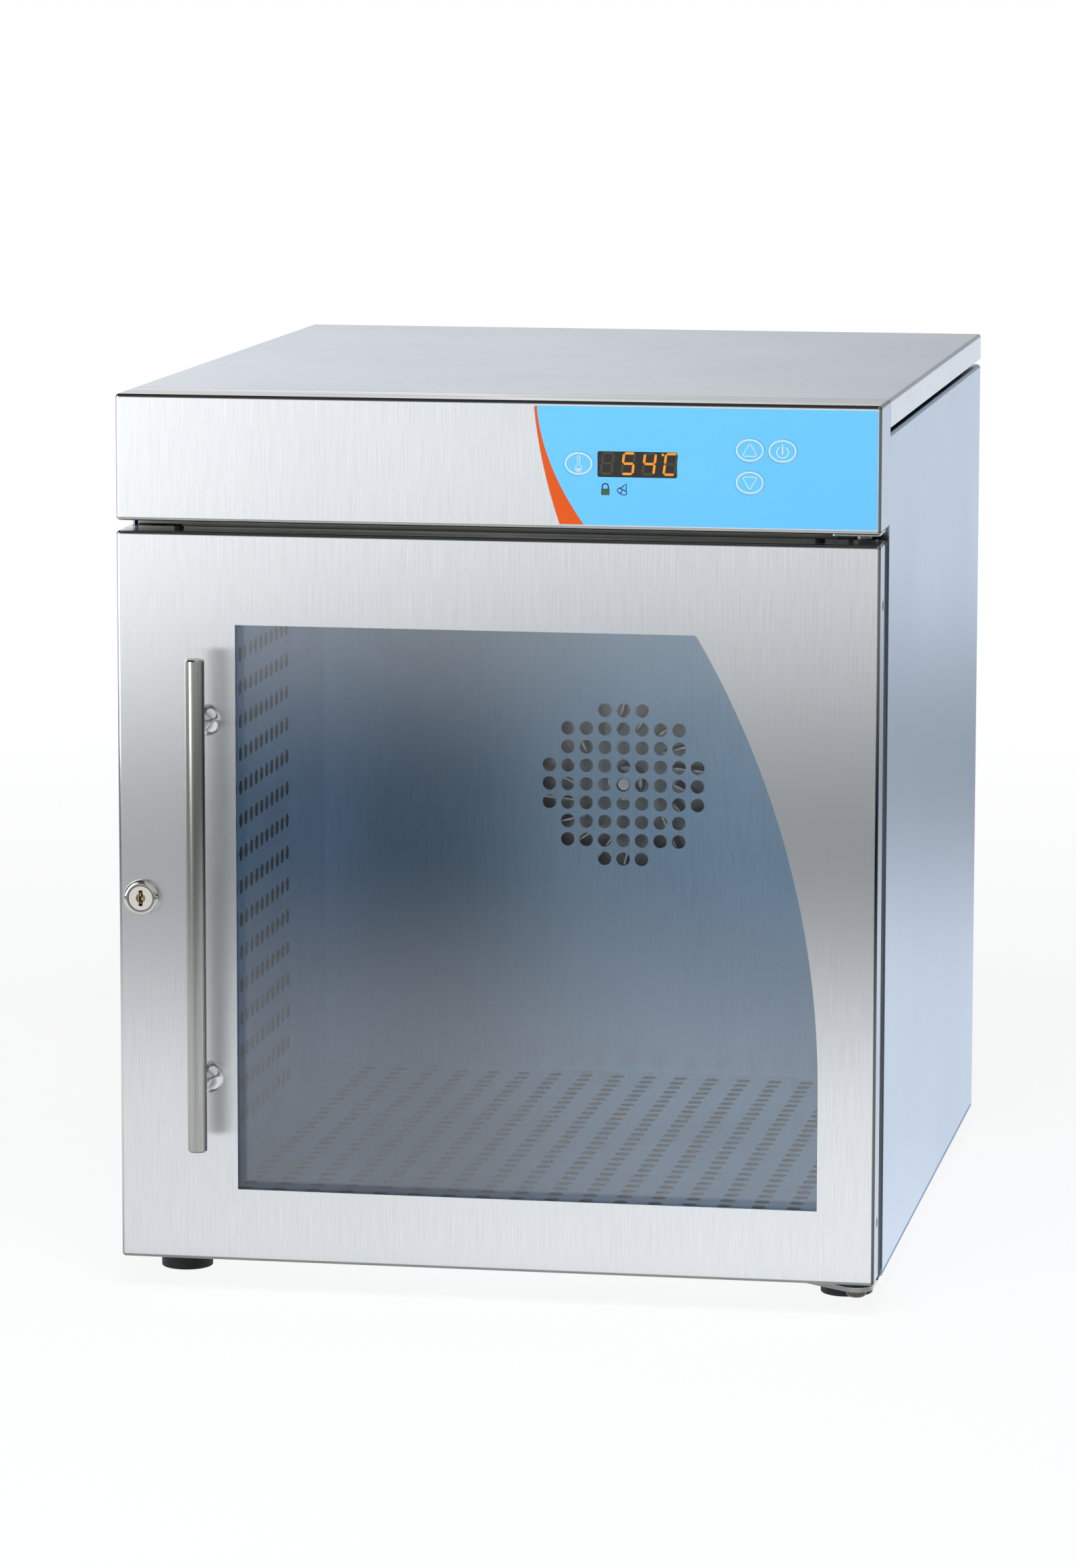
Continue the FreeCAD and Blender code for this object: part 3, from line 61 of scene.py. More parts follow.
# ---------- studio ----------
# A white table before a white backdrop, lit by three soft panels: a tall one close at the left
# front, one overhead and a faint one at the right. Metal mirrors only the first of them; the room
# and the floor are shaded for it, so that bare steel has tone on every side.
def colour(code):
    """Turn an sRGB hex code to linear light."""
    parts = [int(code[i:i + 2], 16) / 255 for i in (0, 2, 4)]
    return [p / 12.92 if p <= 0.04045 else ((p + 0.055) / 1.055) ** 2.4 for p in parts] + [1.0]


def add(tree, kind, inputs, **settings):
    """Add one node. An input is given a plain value, or the output that feeds it."""
    node = tree.nodes.new("ShaderNode" + kind)
    for name, value in settings.items():
        setattr(node, name, value)
    for name, value in inputs.items():
        if isinstance(value, bpy.types.NodeSocket):
            tree.links.new(value, node.inputs[name])
        else:
            node.inputs[name].default_value = value
    return node


def aimed_panel(name, place, target, size, power, tint):
    """One soft light panel, turned towards a point."""
    lamp = bpy.data.lights.new(name, "AREA")
    lamp.shape = "RECTANGLE"
    lamp.size, lamp.size_y = size
    lamp.energy = power
    lamp.color = colour(tint)[:3]
    panel = bpy.data.objects.new(name, lamp)
    panel.location = place
    panel.rotation_euler = (Vector(target) - Vector(place)).to_track_quat("-Z", "Y").to_euler()
    bpy.context.scene.collection.objects.link(panel)
    return panel


aimed_panel("panel_left", (-1.05, -1.25, 0.72), (-0.1, -0.28, 0.42), (0.7, 1.2), 9.5, "FFFDFA")
above = aimed_panel("panel_top", (0.2, -1.2, 2.0), (0.0, -0.2, 0.4), (1.0, 1.0), 35.0, "F8FAFF")
beside = aimed_panel("panel_right", (1.9, 0.3, 0.8), (0.2, 0.0, 0.3), (0.9, 1.2), 8.0, "DCE8FF")
above.visible_glossy = False
beside.visible_glossy = False

# The room is dark but for its left front, low down. Metal also mirrors a pale backdrop behind the
# cabinet and a pale wall far at the right. Seen straight on or through glass, the room is white.
world = bpy.data.worlds.new("studio")
bpy.context.scene.world = world
world.use_nodes = True
room = world.node_tree
room_way = add(room, "TexCoord", {}).outputs["Generated"]
way_parts = add(room, "SeparateXYZ", {"Vector": room_way}).outputs
bright_way = Vector((-0.7, -0.7, 0.05)).normalized()
facing = add(room, "VectorMath", {0: room_way, 1: bright_way},
             operation="DOT_PRODUCT").outputs["Value"]
from_left = add(room, "MapRange", {"Value": facing, "From Min": 0.3, "From Max": 0.95},
                interpolation_type="SMOOTHSTEP").outputs["Result"]
from_above = add(room, "MapRange", {"Value": way_parts["Z"], "From Min": 0.05, "From Max": 0.25,
                                    "To Min": 1.0, "To Max": 0.1},
                 interpolation_type="SMOOTHSTEP").outputs["Result"]
bright = add(room, "Math", {0: from_left, 1: from_above}, operation="MULTIPLY").outputs["Value"]
walls = add(room, "Mix", {0: bright, 6: colour("45494B"), 7: colour("F2F4F8")},
            data_type="RGBA").outputs[2]
behind = add(room, "MapRange", {"Value": way_parts["Y"], "From Min": 0.1, "From Max": 0.7},
             interpolation_type="SMOOTHSTEP").outputs["Result"]
toward_right = add(room, "MapRange", {"Value": way_parts["X"], "From Min": -0.24, "From Max": 0.0,
                                      "To Min": 1.0, "To Max": 0.4}).outputs["Result"]
below_top = add(room, "MapRange", {"Value": way_parts["Z"], "From Min": 0.35, "From Max": 0.7,
                                   "To Min": 1.0, "To Max": 0.0},
                interpolation_type="SMOOTHSTEP").outputs["Result"]
upright_part = add(room, "Math", {0: behind, 1: below_top}, operation="MULTIPLY").outputs["Value"]
backdrop = add(room, "Math", {0: upright_part, 1: toward_right},
               operation="MULTIPLY").outputs["Value"]
to_side = add(room, "MapRange", {"Value": way_parts["X"], "From Min": -0.06, "From Max": 0.15,
                                 "To Min": 0.0, "To Max": 0.8},
              interpolation_type="SMOOTHSTEP").outputs["Result"]
raised = add(room, "MapRange", {"Value": way_parts["Z"], "From Min": 0.1, "From Max": 0.25},
             interpolation_type="SMOOTHSTEP").outputs["Result"]
not_behind = add(room, "Math", {0: 1.0, 1: behind}, operation="SUBTRACT").outputs["Value"]
side_wall = add(room, "Math", {0: to_side, 1: raised}, operation="MULTIPLY").outputs["Value"]
clear_wall = add(room, "Math", {0: side_wall, 1: not_behind}, operation="MULTIPLY").outputs["Value"]
pale_part = add(room, "Math", {0: backdrop, 1: clear_wall}, operation="MAXIMUM").outputs["Value"]
room_rays = add(room, "LightPath", {}).outputs
mirrored = add(room, "Math", {0: pale_part, 1: room_rays["Is Glossy Ray"]},
               operation="MULTIPLY").outputs["Value"]
straight = add(room, "Math", {0: room_rays["Is Camera Ray"], 1: room_rays["Is Transmission Ray"]},
               operation="MAXIMUM").outputs["Value"]
seen = add(room, "Math", {0: mirrored, 1: straight}, operation="MAXIMUM").outputs["Value"]
room_tone = add(room, "Mix", {0: seen, 6: walls, 7: colour("FFFFFF")}, data_type="RGBA").outputs[2]
room.links.new(room_tone, room.nodes["Background"].inputs["Color"])
room.nodes["Background"].inputs["Strength"].default_value = 1.0

# The table lights the cabinet as diffuse laminate. Seen straight on it glows white and keeps the
# cabinet's shadow. To metal it shows painted light and shade: white close by and a painted grey
# from 0.9 m outwards, darker behind the cabinet, brighter to the right and far at the left, and a
# painted shadow of the cabinet in a band along the door's foot.
bpy.ops.mesh.primitive_plane_add(size=40.0)
floor = bpy.context.object
floor.name = "floor"
table_top = bpy.data.materials.new("white_laminate")
table_top.use_nodes = True
tree = table_top.node_tree
tree.nodes.remove(tree.nodes["Principled BSDF"])
place = add(tree, "TexCoord", {}).outputs["Object"]
away = add(tree, "VectorMath", {0: place}, operation="LENGTH").outputs["Value"]
spot = add(tree, "SeparateXYZ", {"Vector": place}).outputs
past_table = add(tree, "MapRange", {"Value": away, "From Min": 0.9, "From Max": 2.1},
                 interpolation_type="SMOOTHSTEP").outputs["Result"]
near_wall = add(tree, "MapRange", {"Value": away, "From Min": 2.3, "From Max": 3.9,
                                   "To Min": 1.0, "To Max": 0.06},
                interpolation_type="SMOOTHSTEP").outputs["Result"]
in_front = add(tree, "MapRange", {"Value": spot["Y"], "From Min": -0.6, "From Max": 0.8,
                                  "To Min": 0.82, "To Max": 0.46}).outputs["Result"]
on_right = add(tree, "MapRange", {"Value": spot["X"], "From Min": -1.0, "From Max": 0.0,
                                  "To Min": 1.0, "To Max": 1.2}).outputs["Result"]
ring = add(tree, "Math", {0: past_table, 1: near_wall}, operation="MULTIPLY").outputs["Value"]
ring_side = add(tree, "Math", {0: ring, 1: on_right}, operation="MULTIPLY").outputs["Value"]
grey = add(tree, "Math", {0: ring_side, 1: in_front}, operation="MULTIPLY").outputs["Value"]
lit = add(tree, "BsdfDiffuse", {"Color": colour("D8D9DB")})
soft = add(tree, "BsdfDiffuse", {"Color": colour("555657")})
full = add(tree, "MapRange", {"Value": away, "From Min": 0.9, "From Max": 2.6,
                              "To Min": 0.9, "To Max": 1.0}).outputs["Result"]
glow = add(tree, "Emission", {"Color": colour("FFFFFF"), "Strength": full})
shown = add(tree, "AddShader", {0: soft.outputs[0], 1: glow.outputs[0]})
floor_tone = add(tree, "Mix", {0: grey, 6: colour("FCFDFF"), 7: colour("30343A")},
                 data_type="RGBA").outputs[2]
# Painted light and shade in what metal mirrors of the table: darker behind, brighter to the right
# and far at the left.
painted_shade_behind = add(tree, "MapRange", {"Value": spot["Y"], "From Min": -0.2, "From Max": 0.3,
                                   "To Min": 1.0, "To Max": 0.88}).outputs["Result"]
painted_light_across = add(tree, "MapRange", {"Value": spot["X"], "From Min": -0.35, "From Max": 0.2,
                                   "To Min": 1.03, "To Max": 1.2}).outputs["Result"]
painted_light_far_left = add(tree, "MapRange", {"Value": spot["X"], "From Min": -0.8, "From Max": -0.35,
                                  "To Min": 1.22, "To Max": 0.96}).outputs["Result"]
# Painted shadow of the cabinet, in a band along the door's foot and under the cabinet's front.
painted_shadow_front = add(tree, "MapRange", {"Value": spot["Y"], "From Min": -0.38, "From Max": -0.3,
                                  "To Min": 1.0, "To Max": 0.6},
               interpolation_type="SMOOTHSTEP").outputs["Result"]
painted_shadow_under = add(tree, "MapRange", {"Value": spot["Y"], "From Min": -0.29, "From Max": -0.2,
                                  "To Min": 0.0, "To Max": 1.0}).outputs["Result"]
shaded = add(tree, "Math", {0: painted_shadow_front, 1: painted_shadow_under}, operation="MAXIMUM").outputs["Value"]
front_back = add(tree, "Math", {0: painted_shade_behind, 1: shaded}, operation="MULTIPLY").outputs["Value"]
left_right = add(tree, "Math", {0: painted_light_across, 1: painted_light_far_left}, operation="MULTIPLY").outputs["Value"]
painted_floor_light = add(tree, "Math", {0: front_back, 1: left_right}, operation="MULTIPLY").outputs["Value"]
painted_mirrored_floor = add(tree, "Emission", {"Color": floor_tone, "Strength": painted_floor_light})
rays = add(tree, "LightPath", {}).outputs
straight = add(tree, "Math", {0: rays["Is Camera Ray"], 1: rays["Is Transmission Ray"]},
               operation="MAXIMUM").outputs["Value"]
by_eye = add(tree, "MixShader", {0: straight, 1: lit.outputs[0], 2: shown.outputs[0]})
laid = add(tree, "MixShader", {0: rays["Is Glossy Ray"], 1: by_eye.outputs[0],
                               2: painted_mirrored_floor.outputs[0]})
tree.links.new(laid.outputs[0], tree.nodes["Material Output"].inputs["Surface"])
floor.data.materials.append(table_top)


# ---------- outer case ----------
# Stainless steel sheet 1.2 mm thick, cut, folded and spot welded. The mill's brushing leaves fine
# marks along the sheet, fainter here than on the door, so that the sides and cover take the room
# as broad soft tones. Their steel is given a bluer colour than the door's, a painted reflection of
# bluish light from the right and behind.
def finish(name, dark, light, grain, rough, relief, metal=0.0, cloud=90.0, share=0.35):
    """Finish whose colour, gloss and surface follow one grain, with a broad soft unevenness.

    grain is the mark's size along X, Y and Z, cloud the size of the unevenness and relief the
    depth of the marks, all in mm; rough holds the least and the most roughness, and share is how
    much of the tone follows the unevenness.
    """
    noise_low, noise_high = 0.35, 0.65
    made = bpy.data.materials.new(name)
    made.use_nodes = True
    tree = made.node_tree
    shader = tree.nodes["Principled BSDF"]
    shader.inputs["Metallic"].default_value = metal
    place = add(tree, "TexCoord", {}).outputs["Object"]
    sized = add(tree, "Mapping", {"Vector": place, "Scale": [1000 / size for size in grain]})
    marks = add(tree, "TexNoise", {"Vector": sized.outputs["Vector"], "Scale": 1.0,
                                   "Detail": 3.0}).outputs["Fac"]
    patches = add(tree, "TexNoise", {"Vector": place, "Scale": 1000 / cloud,
                                     "Detail": 2.0}).outputs["Fac"]
    both = add(tree, "Mix", {0: share, 2: marks, 3: patches}).outputs[0]
    tone = add(tree, "MapRange", {"Value": both, "From Min": noise_low, "From Max": noise_high})
    tint = add(tree, "Mix", {0: tone.outputs["Result"], 6: colour(dark), 7: colour(light)},
               data_type="RGBA")
    gloss = add(tree, "MapRange", {"Value": both, "From Min": noise_low, "From Max": noise_high,
                                   "To Min": rough[1], "To Max": rough[0]})
    height = add(tree, "Bump", {"Height": marks, "Strength": 1.0, "Distance": relief / 1000})
    tree.links.new(tint.outputs[2], shader.inputs["Base Color"])
    tree.links.new(gloss.outputs["Result"], shader.inputs["Roughness"])
    tree.links.new(height.outputs["Normal"], shader.inputs["Normal"])
    return made


def clad(made, *names):
    """Give CAD nodes their finish."""
    for name in names:
        for slot in nodes[name].material_slots:
            slot.material = made


# The blue in these colours is a painted reflection of bluish light.
case_upright = finish("stainless_case_upright", "ABC3DE", "B0C8E2", (1.0, 1.0, 30.0), (0.27, 0.29),
                      0.0001, metal=1.0, cloud=160.0, share=0.6)
case_cover = finish("stainless_case_cover", "CCD8E6", "D1DDEA", (1.0, 30.0, 1.0), (0.24, 0.27),
                    0.0003, metal=1.0, cloud=160.0, share=0.6)
clad(case_upright, "side_panel_left", "side_panel_right", "back_panel", "front_post_left",
     "front_post_right")
clad(case_cover, "top_cover", "base_pan")

# Zinc-plated steel for the rear rail and the shelf under the cover, with the dull mottle that
# plating leaves. The rail over the opening is plain stainless steel, a little yellower.
zinc_plate = finish("zinc_plated_sheet", "9DA0A2", "B4B7B6", (9.0, 9.0, 9.0), (0.32, 0.46), 0.004,
                    metal=1.0)
rail_steel = finish("stainless_rail", "98978F", "A6A59D", (20.0, 1.0, 1.0), (0.3, 0.36), 0.0006,
                    metal=1.0)
clad(zinc_plate, "rear_rail", "control_shelf")
clad(rail_steel, "front_rail_top")


# ---------- header and door sheets ----------
# The faces that people see: the same stainless steel with a coarser vertical grain. The real
# marks are 0.1 mm wide, too fine to show, so they are drawn 0.4 mm wide and 30 mm long.
door_grain = finish("stainless_vertical_grain", "D4D8DA", "DFE2E4", (0.4, 0.4, 30.0), (0.22, 0.26),
                    0.0005, metal=1.0, cloud=120.0, share=0.2)

# Upright brushing stretches each reflection level. The press tool leaves the bends smoother; their
# darker colour is painted shade, deepest on the hinge's side and least on the lock's. The folds at
# the sides are tinted bluer, a painted reflection of bluish light.
stretch = 0.7
bend_rough = 0.1
bend_painted_shade = "A4A6A1"
hinge_bend_painted_shade = "626664"
fold_painted_blue = "AFC3DC"
tree = door_grain.node_tree
shader = tree.nodes["Principled BSDF"]
plain_tone, plain_gloss = [shader.inputs[name].links[0].from_socket
                           for name in ("Base Color", "Roughness")]
shader.inputs["Anisotropic"].default_value = stretch
level = add(tree, "Tangent", {}, direction_type="RADIAL", axis="Z").outputs["Tangent"]
facing_way = add(tree, "NewGeometry", {}).outputs["Normal"]
parts_of = add(tree, "VectorMath", {0: facing_way}, operation="ABSOLUTE").outputs["Vector"]
total = add(tree, "VectorMath", {0: parts_of, 1: (1.0, 1.0, 1.0)},
            operation="DOT_PRODUCT").outputs["Value"]
bend = add(tree, "MapRange", {"Value": total, "From Min": 1.05, "From Max": 1.25}).outputs["Result"]
door_gloss = add(tree, "Mix", {0: bend, 2: plain_gloss, 3: bend_rough}).outputs[0]
sideways = add(tree, "SeparateXYZ", {"Vector": parts_of}).outputs["X"]
side_fold = add(tree, "MapRange", {"Value": sideways, "From Min": 0.75, "From Max": 0.95})
# Painted reflection: the folds at the sides are tinted blue.
folded = add(tree, "Mix", {0: side_fold.outputs["Result"], 6: plain_tone, 7: colour(fold_painted_blue)},
             data_type="RGBA").outputs[2]
hinge_side = add(tree, "SeparateXYZ", {"Vector": facing_way}).outputs["X"]
upright = add(tree, "MapRange", {"Value": hinge_side, "From Min": 0.15, "From Max": 0.3})
# Painted shade on the bends, darker where they face the hinge's side.
bend_shade_tone = add(tree, "Mix", {0: upright.outputs["Result"], 6: colour(bend_painted_shade),
                              7: colour(hinge_bend_painted_shade)}, data_type="RGBA").outputs[2]
lock_side = add(tree, "MapRange", {"Value": hinge_side, "From Min": -0.3, "From Max": -0.15,
                                   "To Min": 0.5}).outputs["Result"]
# The bends on the lock's side take half of the painted shade.
bend_shade_share = add(tree, "Math", {0: bend, 1: lock_side}, operation="MULTIPLY").outputs["Value"]
door_tone = add(tree, "Mix", {0: bend_shade_share, 6: folded, 7: bend_shade_tone}, data_type="RGBA").outputs[2]
tree.links.new(level, shader.inputs["Tangent"])
tree.links.new(door_tone, shader.inputs["Base Color"])
tree.links.new(door_gloss, shader.inputs["Roughness"])
clad(door_grain, "header_housing", "door_skin")

# Inner pan of the door and the chamber's walls: plain sheet, rolled bright. Its colour is a little
# blue, a painted reflection of bluish light.
chamber_sheet = finish("stainless_chamber", "8CA6C0", "9AB2CA", (1.2, 20.0, 20.0), (0.3, 0.35),
                       0.0004, metal=1.0, cloud=160.0, share=0.6)
clad(chamber_sheet, "door_inner_pan", "chamber_liner", "chamber_back", "duct_panel_left",
     "duct_panel_right", "duct_panel_floor", "duct_panel_back")


# ---------- glazing ----------
# Two panes of clear float glass 4 mm thick in a black spacer bar. The panes let the room's light
# into the chamber; their edges show the faint green of soda-lime glass.
glass = bpy.data.materials.new("float_glass")
glass.use_nodes = True
tree = glass.node_tree
pane = tree.nodes["Principled BSDF"]
pane.inputs["Roughness"].default_value = 0.0
pane.inputs["IOR"].default_value = 1.52
pane.inputs["Transmission Weight"].default_value = 1.0
place = add(tree, "TexCoord", {}).outputs["Object"]
streaks = add(tree, "TexNoise", {"Vector": place, "Scale": 9.0, "Detail": 2.0})
clear_tint = add(tree, "Mix", {0: streaks.outputs["Fac"], 6: colour("FAFDFC"), 7: colour("FFFFFF")},
                 data_type="RGBA")
tree.links.new(clear_tint.outputs[2], pane.inputs["Base Color"])
open_pane = add(tree, "BsdfTransparent", {"Color": colour("FBFDFC")})
rays = add(tree, "LightPath", {}).outputs
lets_by = add(tree, "Math", {0: rays["Is Shadow Ray"], 1: rays["Is Diffuse Ray"]},
              operation="MAXIMUM").outputs["Value"]
through = add(tree, "MixShader", {0: lets_by, 1: pane.outputs[0], 2: open_pane.outputs[0]})
tree.links.new(through.outputs[0], tree.nodes["Material Output"].inputs["Surface"])
clad(glass, "window_panes")

spacer_bar = finish("black_spacer_bar", "141416", "202124", (1.5, 1.5, 1.5), (0.38, 0.5), 0.01)
clad(spacer_bar, "glazing_spacer")


# ---------- door gasket ----------
# Extruded black rubber, clipped round the back of the door. A soft pleat lets the magnet head
# reach the frame, and the corners are cut and welded at 45 degrees.
def hang(piece, name, made, body, slot, *stands_for):
    """Set a finished piece's place into its mesh, then name it, coat it and fix it to its body."""
    bpy.ops.object.select_all(action="DESELECT")
    piece.select_set(True)
    bpy.context.view_layer.objects.active = piece
    bpy.ops.object.transform_apply(location=True, rotation=True, scale=True)
    piece.name = name
    piece.data.name = name
    piece.data.materials.clear()
    piece.data.materials.append(made)
    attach(piece, body)
    if stands_for:
        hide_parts(*stands_for)
    return piece


door_face = -276.75


def at(x, y, z):
    """Place in metres from mm: x from the middle, y back from the door's face, z from the floor."""
    return Vector((x, y + door_face, z)) / 1000


def joined_up(objects):
    """Join objects into the first one."""
    bpy.ops.object.select_all(action="DESELECT")
    for piece in objects:
        piece.select_set(True)
    bpy.context.view_layer.objects.active = objects[0]
    if len(objects) > 1:
        bpy.ops.object.join()
    return objects[0]


# The pleated section, as steps of (inset from the seal's edge, depth behind the door's face).
seal_edge = 227.5
seal_low = 29.5
seal_high = 467.7
seal_steps = [(0.6, 31.0), (0.2, 32.6), (2.6, 33.4), (2.9, 34.4), (0.8, 35.6), (0.8, 36.8),
              (2.8, 38.0), (0.3, 39.0), (0.0, 42.6), (1.8, 44.4), (10.2, 44.4), (12.0, 42.6),
              (11.7, 39.0), (9.2, 38.0), (11.2, 36.8), (11.2, 35.6), (9.1, 34.4), (9.4, 33.4),
              (11.8, 32.6), (11.4, 31.0)]

bpy.ops.object.select_all(action="DESELECT")
bpy.ops.mesh.primitive_plane_add(size=1.0, rotation=(math.pi / 2, 0, 0))
seal = bpy.context.object
bpy.ops.object.transform_apply(rotation=True)
bpy.ops.object.mode_set(mode="EDIT")
bpy.ops.mesh.select_all(action="SELECT")
bpy.ops.mesh.delete(type="ONLY_FACE")
for count, (inset, depth) in enumerate(seal_steps + seal_steps[:1]):
    if count:
        bpy.ops.mesh.extrude_region()
    else:
        bpy.ops.mesh.select_all(action="SELECT")
    work = bmesh.from_edit_mesh(seal.data)
    for v in work.verts:
        if v.select:
            across = seal_edge - inset if v.co.x > 0 else inset - seal_edge
            up = seal_high - inset if v.co.z > (0 if count == 0 else 0.25) else seal_low + inset
            v.co = at(across, depth, up)
    bmesh.update_edit_mesh(seal.data)
bpy.ops.mesh.select_all(action="SELECT")
bpy.ops.mesh.remove_doubles(threshold=0.00001)
bpy.ops.mesh.normals_make_consistent(inside=False)
bpy.ops.object.mode_set(mode="OBJECT")

# Along both sides a fatter strip wraps the door's edge, grooved at the front and rounded at the
# back so that it rolls past the frame. It thins beside the latch strike, and its top is trimmed on
# an arc round the hinge, to clear the upper plate's leg.
strip_low = 19.5
strip_high = 476.2
strip_edge = 236.5
strip_fold = 21.0
strip_lip = 1.15
strip_wide = 13.5
groove = 0.35
roll_y = 33.5
roll_r = 11.0
pan_back = 31.05
strike_z = 248.6
strike_half = 20.0
pivot_x = 223.5
pivot_y = 20.0
swing_r = 23.7
strip_outline = [(0.0, strip_fold), (0.0, 27.0), (groove, 27.6), (groove, 28.4), (0.0, 29.0),
                 (0.0, roll_y)]
strip_outline += [(roll_r - roll_r * math.cos(math.radians(a)),
                   roll_y + roll_r * math.sin(math.radians(a))) for a in range(10, 91, 10)]
lip_outline = [(strip_lip, pan_back), (strip_lip, strip_fold)]
strip_outline += [(strip_wide, roll_y + roll_r), (strip_wide, pan_back)] + lip_outline
thin_outline = [(0.0, strip_fold), (0.0, pan_back)] + lip_outline
strike_low = strike_z - strike_half
strike_high = strike_z + strike_half
full_height = [seal_high, seal_high + 2.0, strip_high]
runs = [(1, strip_outline, [strip_low] + full_height),
        (-1, strip_outline, [strip_low, strike_low]),
        (-1, thin_outline, [strike_low, strike_high]),
        (-1, strip_outline, [strike_high] + full_height)]
strips = []
for side, outline, levels in runs:
    bpy.ops.object.select_all(action="DESELECT")
    bpy.ops.mesh.primitive_circle_add(vertices=len(outline), radius=1.0, fill_type="NGON")
    strip = bpy.context.object
    for v, (inset, depth) in zip(strip.data.vertices, outline):
        v.co = at(side * (strip_edge - inset), depth, levels[0])
    bpy.ops.object.mode_set(mode="EDIT")
    bpy.ops.mesh.select_all(action="SELECT")
    for low, high in zip(levels, levels[1:]):
        rise = (0, 0, (high - low) / 1000)
        bpy.ops.mesh.extrude_region_move(TRANSFORM_OT_translate={"value": rise})
        if high > seal_high:
            work = bmesh.from_edit_mesh(strip.data)
            for v in work.verts:
                if v.select:
                    off_pivot = abs(v.co.x) * 1000 - pivot_x
                    reach = math.sqrt(swing_r ** 2 - off_pivot ** 2)
                    v.co.y = min(v.co.y, at(0, pivot_y + reach, 0).y)
            bmesh.update_edit_mesh(strip.data)
    bpy.ops.mesh.select_all(action="SELECT")
    bpy.ops.mesh.normals_make_consistent(inside=False)
    bpy.ops.object.mode_set(mode="OBJECT")
    strips.append(strip)
joined_up([seal] + strips)
soften = seal.modifiers.new("soften", "BEVEL")
soften.width = 0.0004
soften.segments = 2
soften.angle_limit = math.radians(35)
bpy.ops.object.modifier_apply(modifier="soften")
bpy.ops.object.shade_smooth_by_angle(angle=math.radians(50))
seal_rubber = finish("seal_rubber", "0C0D0F", "17181B", (0.9, 0.9, 0.9), (0.5, 0.68), 0.002)
hang(seal, "gasket_pleated", seal_rubber, "door", "seal_rubber", "door_gasket")


# ---------- handle ----------
# Bar of stainless rod on two turned posts. The bar is belt-ground lengthwise; its colour is darker
# than the posts' as painted shade, for the dark room that it mirrors. The posts are polished on the
# lathe and keep the steel's pale tone.
# The bar's darker colour is painted shade.
bar_satin_shaded = finish("satin_ground_bar", "9B9C98", "A9AAA6", (0.5, 0.5, 40.0), (0.15, 0.17), 0.0002,
                   metal=1.0)
post_polish = finish("turned_post_steel", "C3C4C6", "D4D5D7", (6.0, 0.4, 6.0), (0.14, 0.18), 0.0003,
                     metal=1.0)
clad(bar_satin_shaded, "handle_bar")
clad(post_polish, "handle_posts")

# Small fasteners inside the door and the case: bright zinc plate.
zinc_bright = finish("bright_zinc", "A6A9AB", "BFC2C3", (1.5, 1.5, 1.5), (0.22, 0.34), 0.004,
                     metal=1.0)
clad(zinc_bright, "handle_screws", "lock_nut", "lock_cam", "lock_cam_nut", "latch_strike",
     "foot_screws", "high_limit_thermostat")


# ---------- cam lock ----------
# Die-cast lock with a bright chrome collar. The plug's face is satin chrome round a shallow well,
# and brass wards show in its slot for the key.
chrome = finish("bright_chrome", "C0BEB8", "CFCDC8", (0.5, 0.5, 0.5), (0.08, 0.12), 0.0002,
                metal=1.0, cloud=12.0)
satin_plug = finish("satin_plug_face", "D6D3CC", "E2DFD9", (0.5, 0.5, 0.5), (0.34, 0.42), 0.001,
                    metal=1.0, cloud=12.0)
clad(chrome, "lock_housing")
clad(satin_plug, "lock_plug")

lock_x = -221.6
lock_z = 248.6
brass = finish("ward_brass", "8C7440", "B59A5C", (0.4, 0.4, 0.4), (0.25, 0.38), 0.004, metal=1.0)
ward_mid = 1.4
ward_long = 9.0
ward_wide = 1.4
wards = []
for aside, rise, tall in ((-0.55, 2.2, 2.6), (0.55, -0.6, 2.2), (-0.55, -3.1, 1.6)):
    bpy.ops.object.select_all(action="DESELECT")
    bpy.ops.mesh.primitive_cube_add(size=1.0, location=at(lock_x + aside, ward_mid, lock_z + rise))
    ward = bpy.context.object
    ward.scale = (ward_wide / 1000, ward_long / 1000, tall / 1000)
    bpy.ops.object.transform_apply(location=False, rotation=False, scale=True)
    round_off = ward.modifiers.new("round_off", "BEVEL")
    round_off.width = 0.0003
    round_off.segments = 2
    bpy.ops.object.modifier_apply(modifier="round_off")
    wards.append(ward)
hang(joined_up(wards), "lock_wards", brass, "lock", "lock_chrome")

# A dark ring of painted shade round the plug, for the shadow in its gap, and the floor of its key
# well on both sides of the slot: brass, made darker as painted shade in the recess.
plug_r = 7.78
line_r = 0.24
line_y = -4.72
well_r = 2.96
well_y = -3.62
well_half = 62
well_steps = 12
coat_thick = 0.03


def thickened(sheet, thick, offset):
    """Give a flat active sheet its thickness in mm, at its front (1), its back (-1) or both (0)."""
    rise = sheet.modifiers.new("rise", "SOLIDIFY")
    rise.thickness = thick / 1000
    rise.offset = offset
    bpy.ops.object.modifier_apply(modifier="rise")


# Painted shade: a dark ring for the shadow in the gap round the plug.
plug_gap_shade = finish("lock_gap_painted_shade", "2A2723", "3A362F", (0.5, 0.5, 0.5), (0.4, 0.5), 0.002)
bpy.ops.object.select_all(action="DESELECT")
bpy.ops.mesh.primitive_torus_add(major_segments=64, minor_segments=8, major_radius=plug_r / 1000,
                                 minor_radius=line_r / 1000, rotation=(math.pi / 2, 0, 0),
                                 location=at(lock_x, line_y, lock_z))
hang(bpy.context.object, "lock_plug_line", plug_gap_shade, "lock", "lock_chrome")
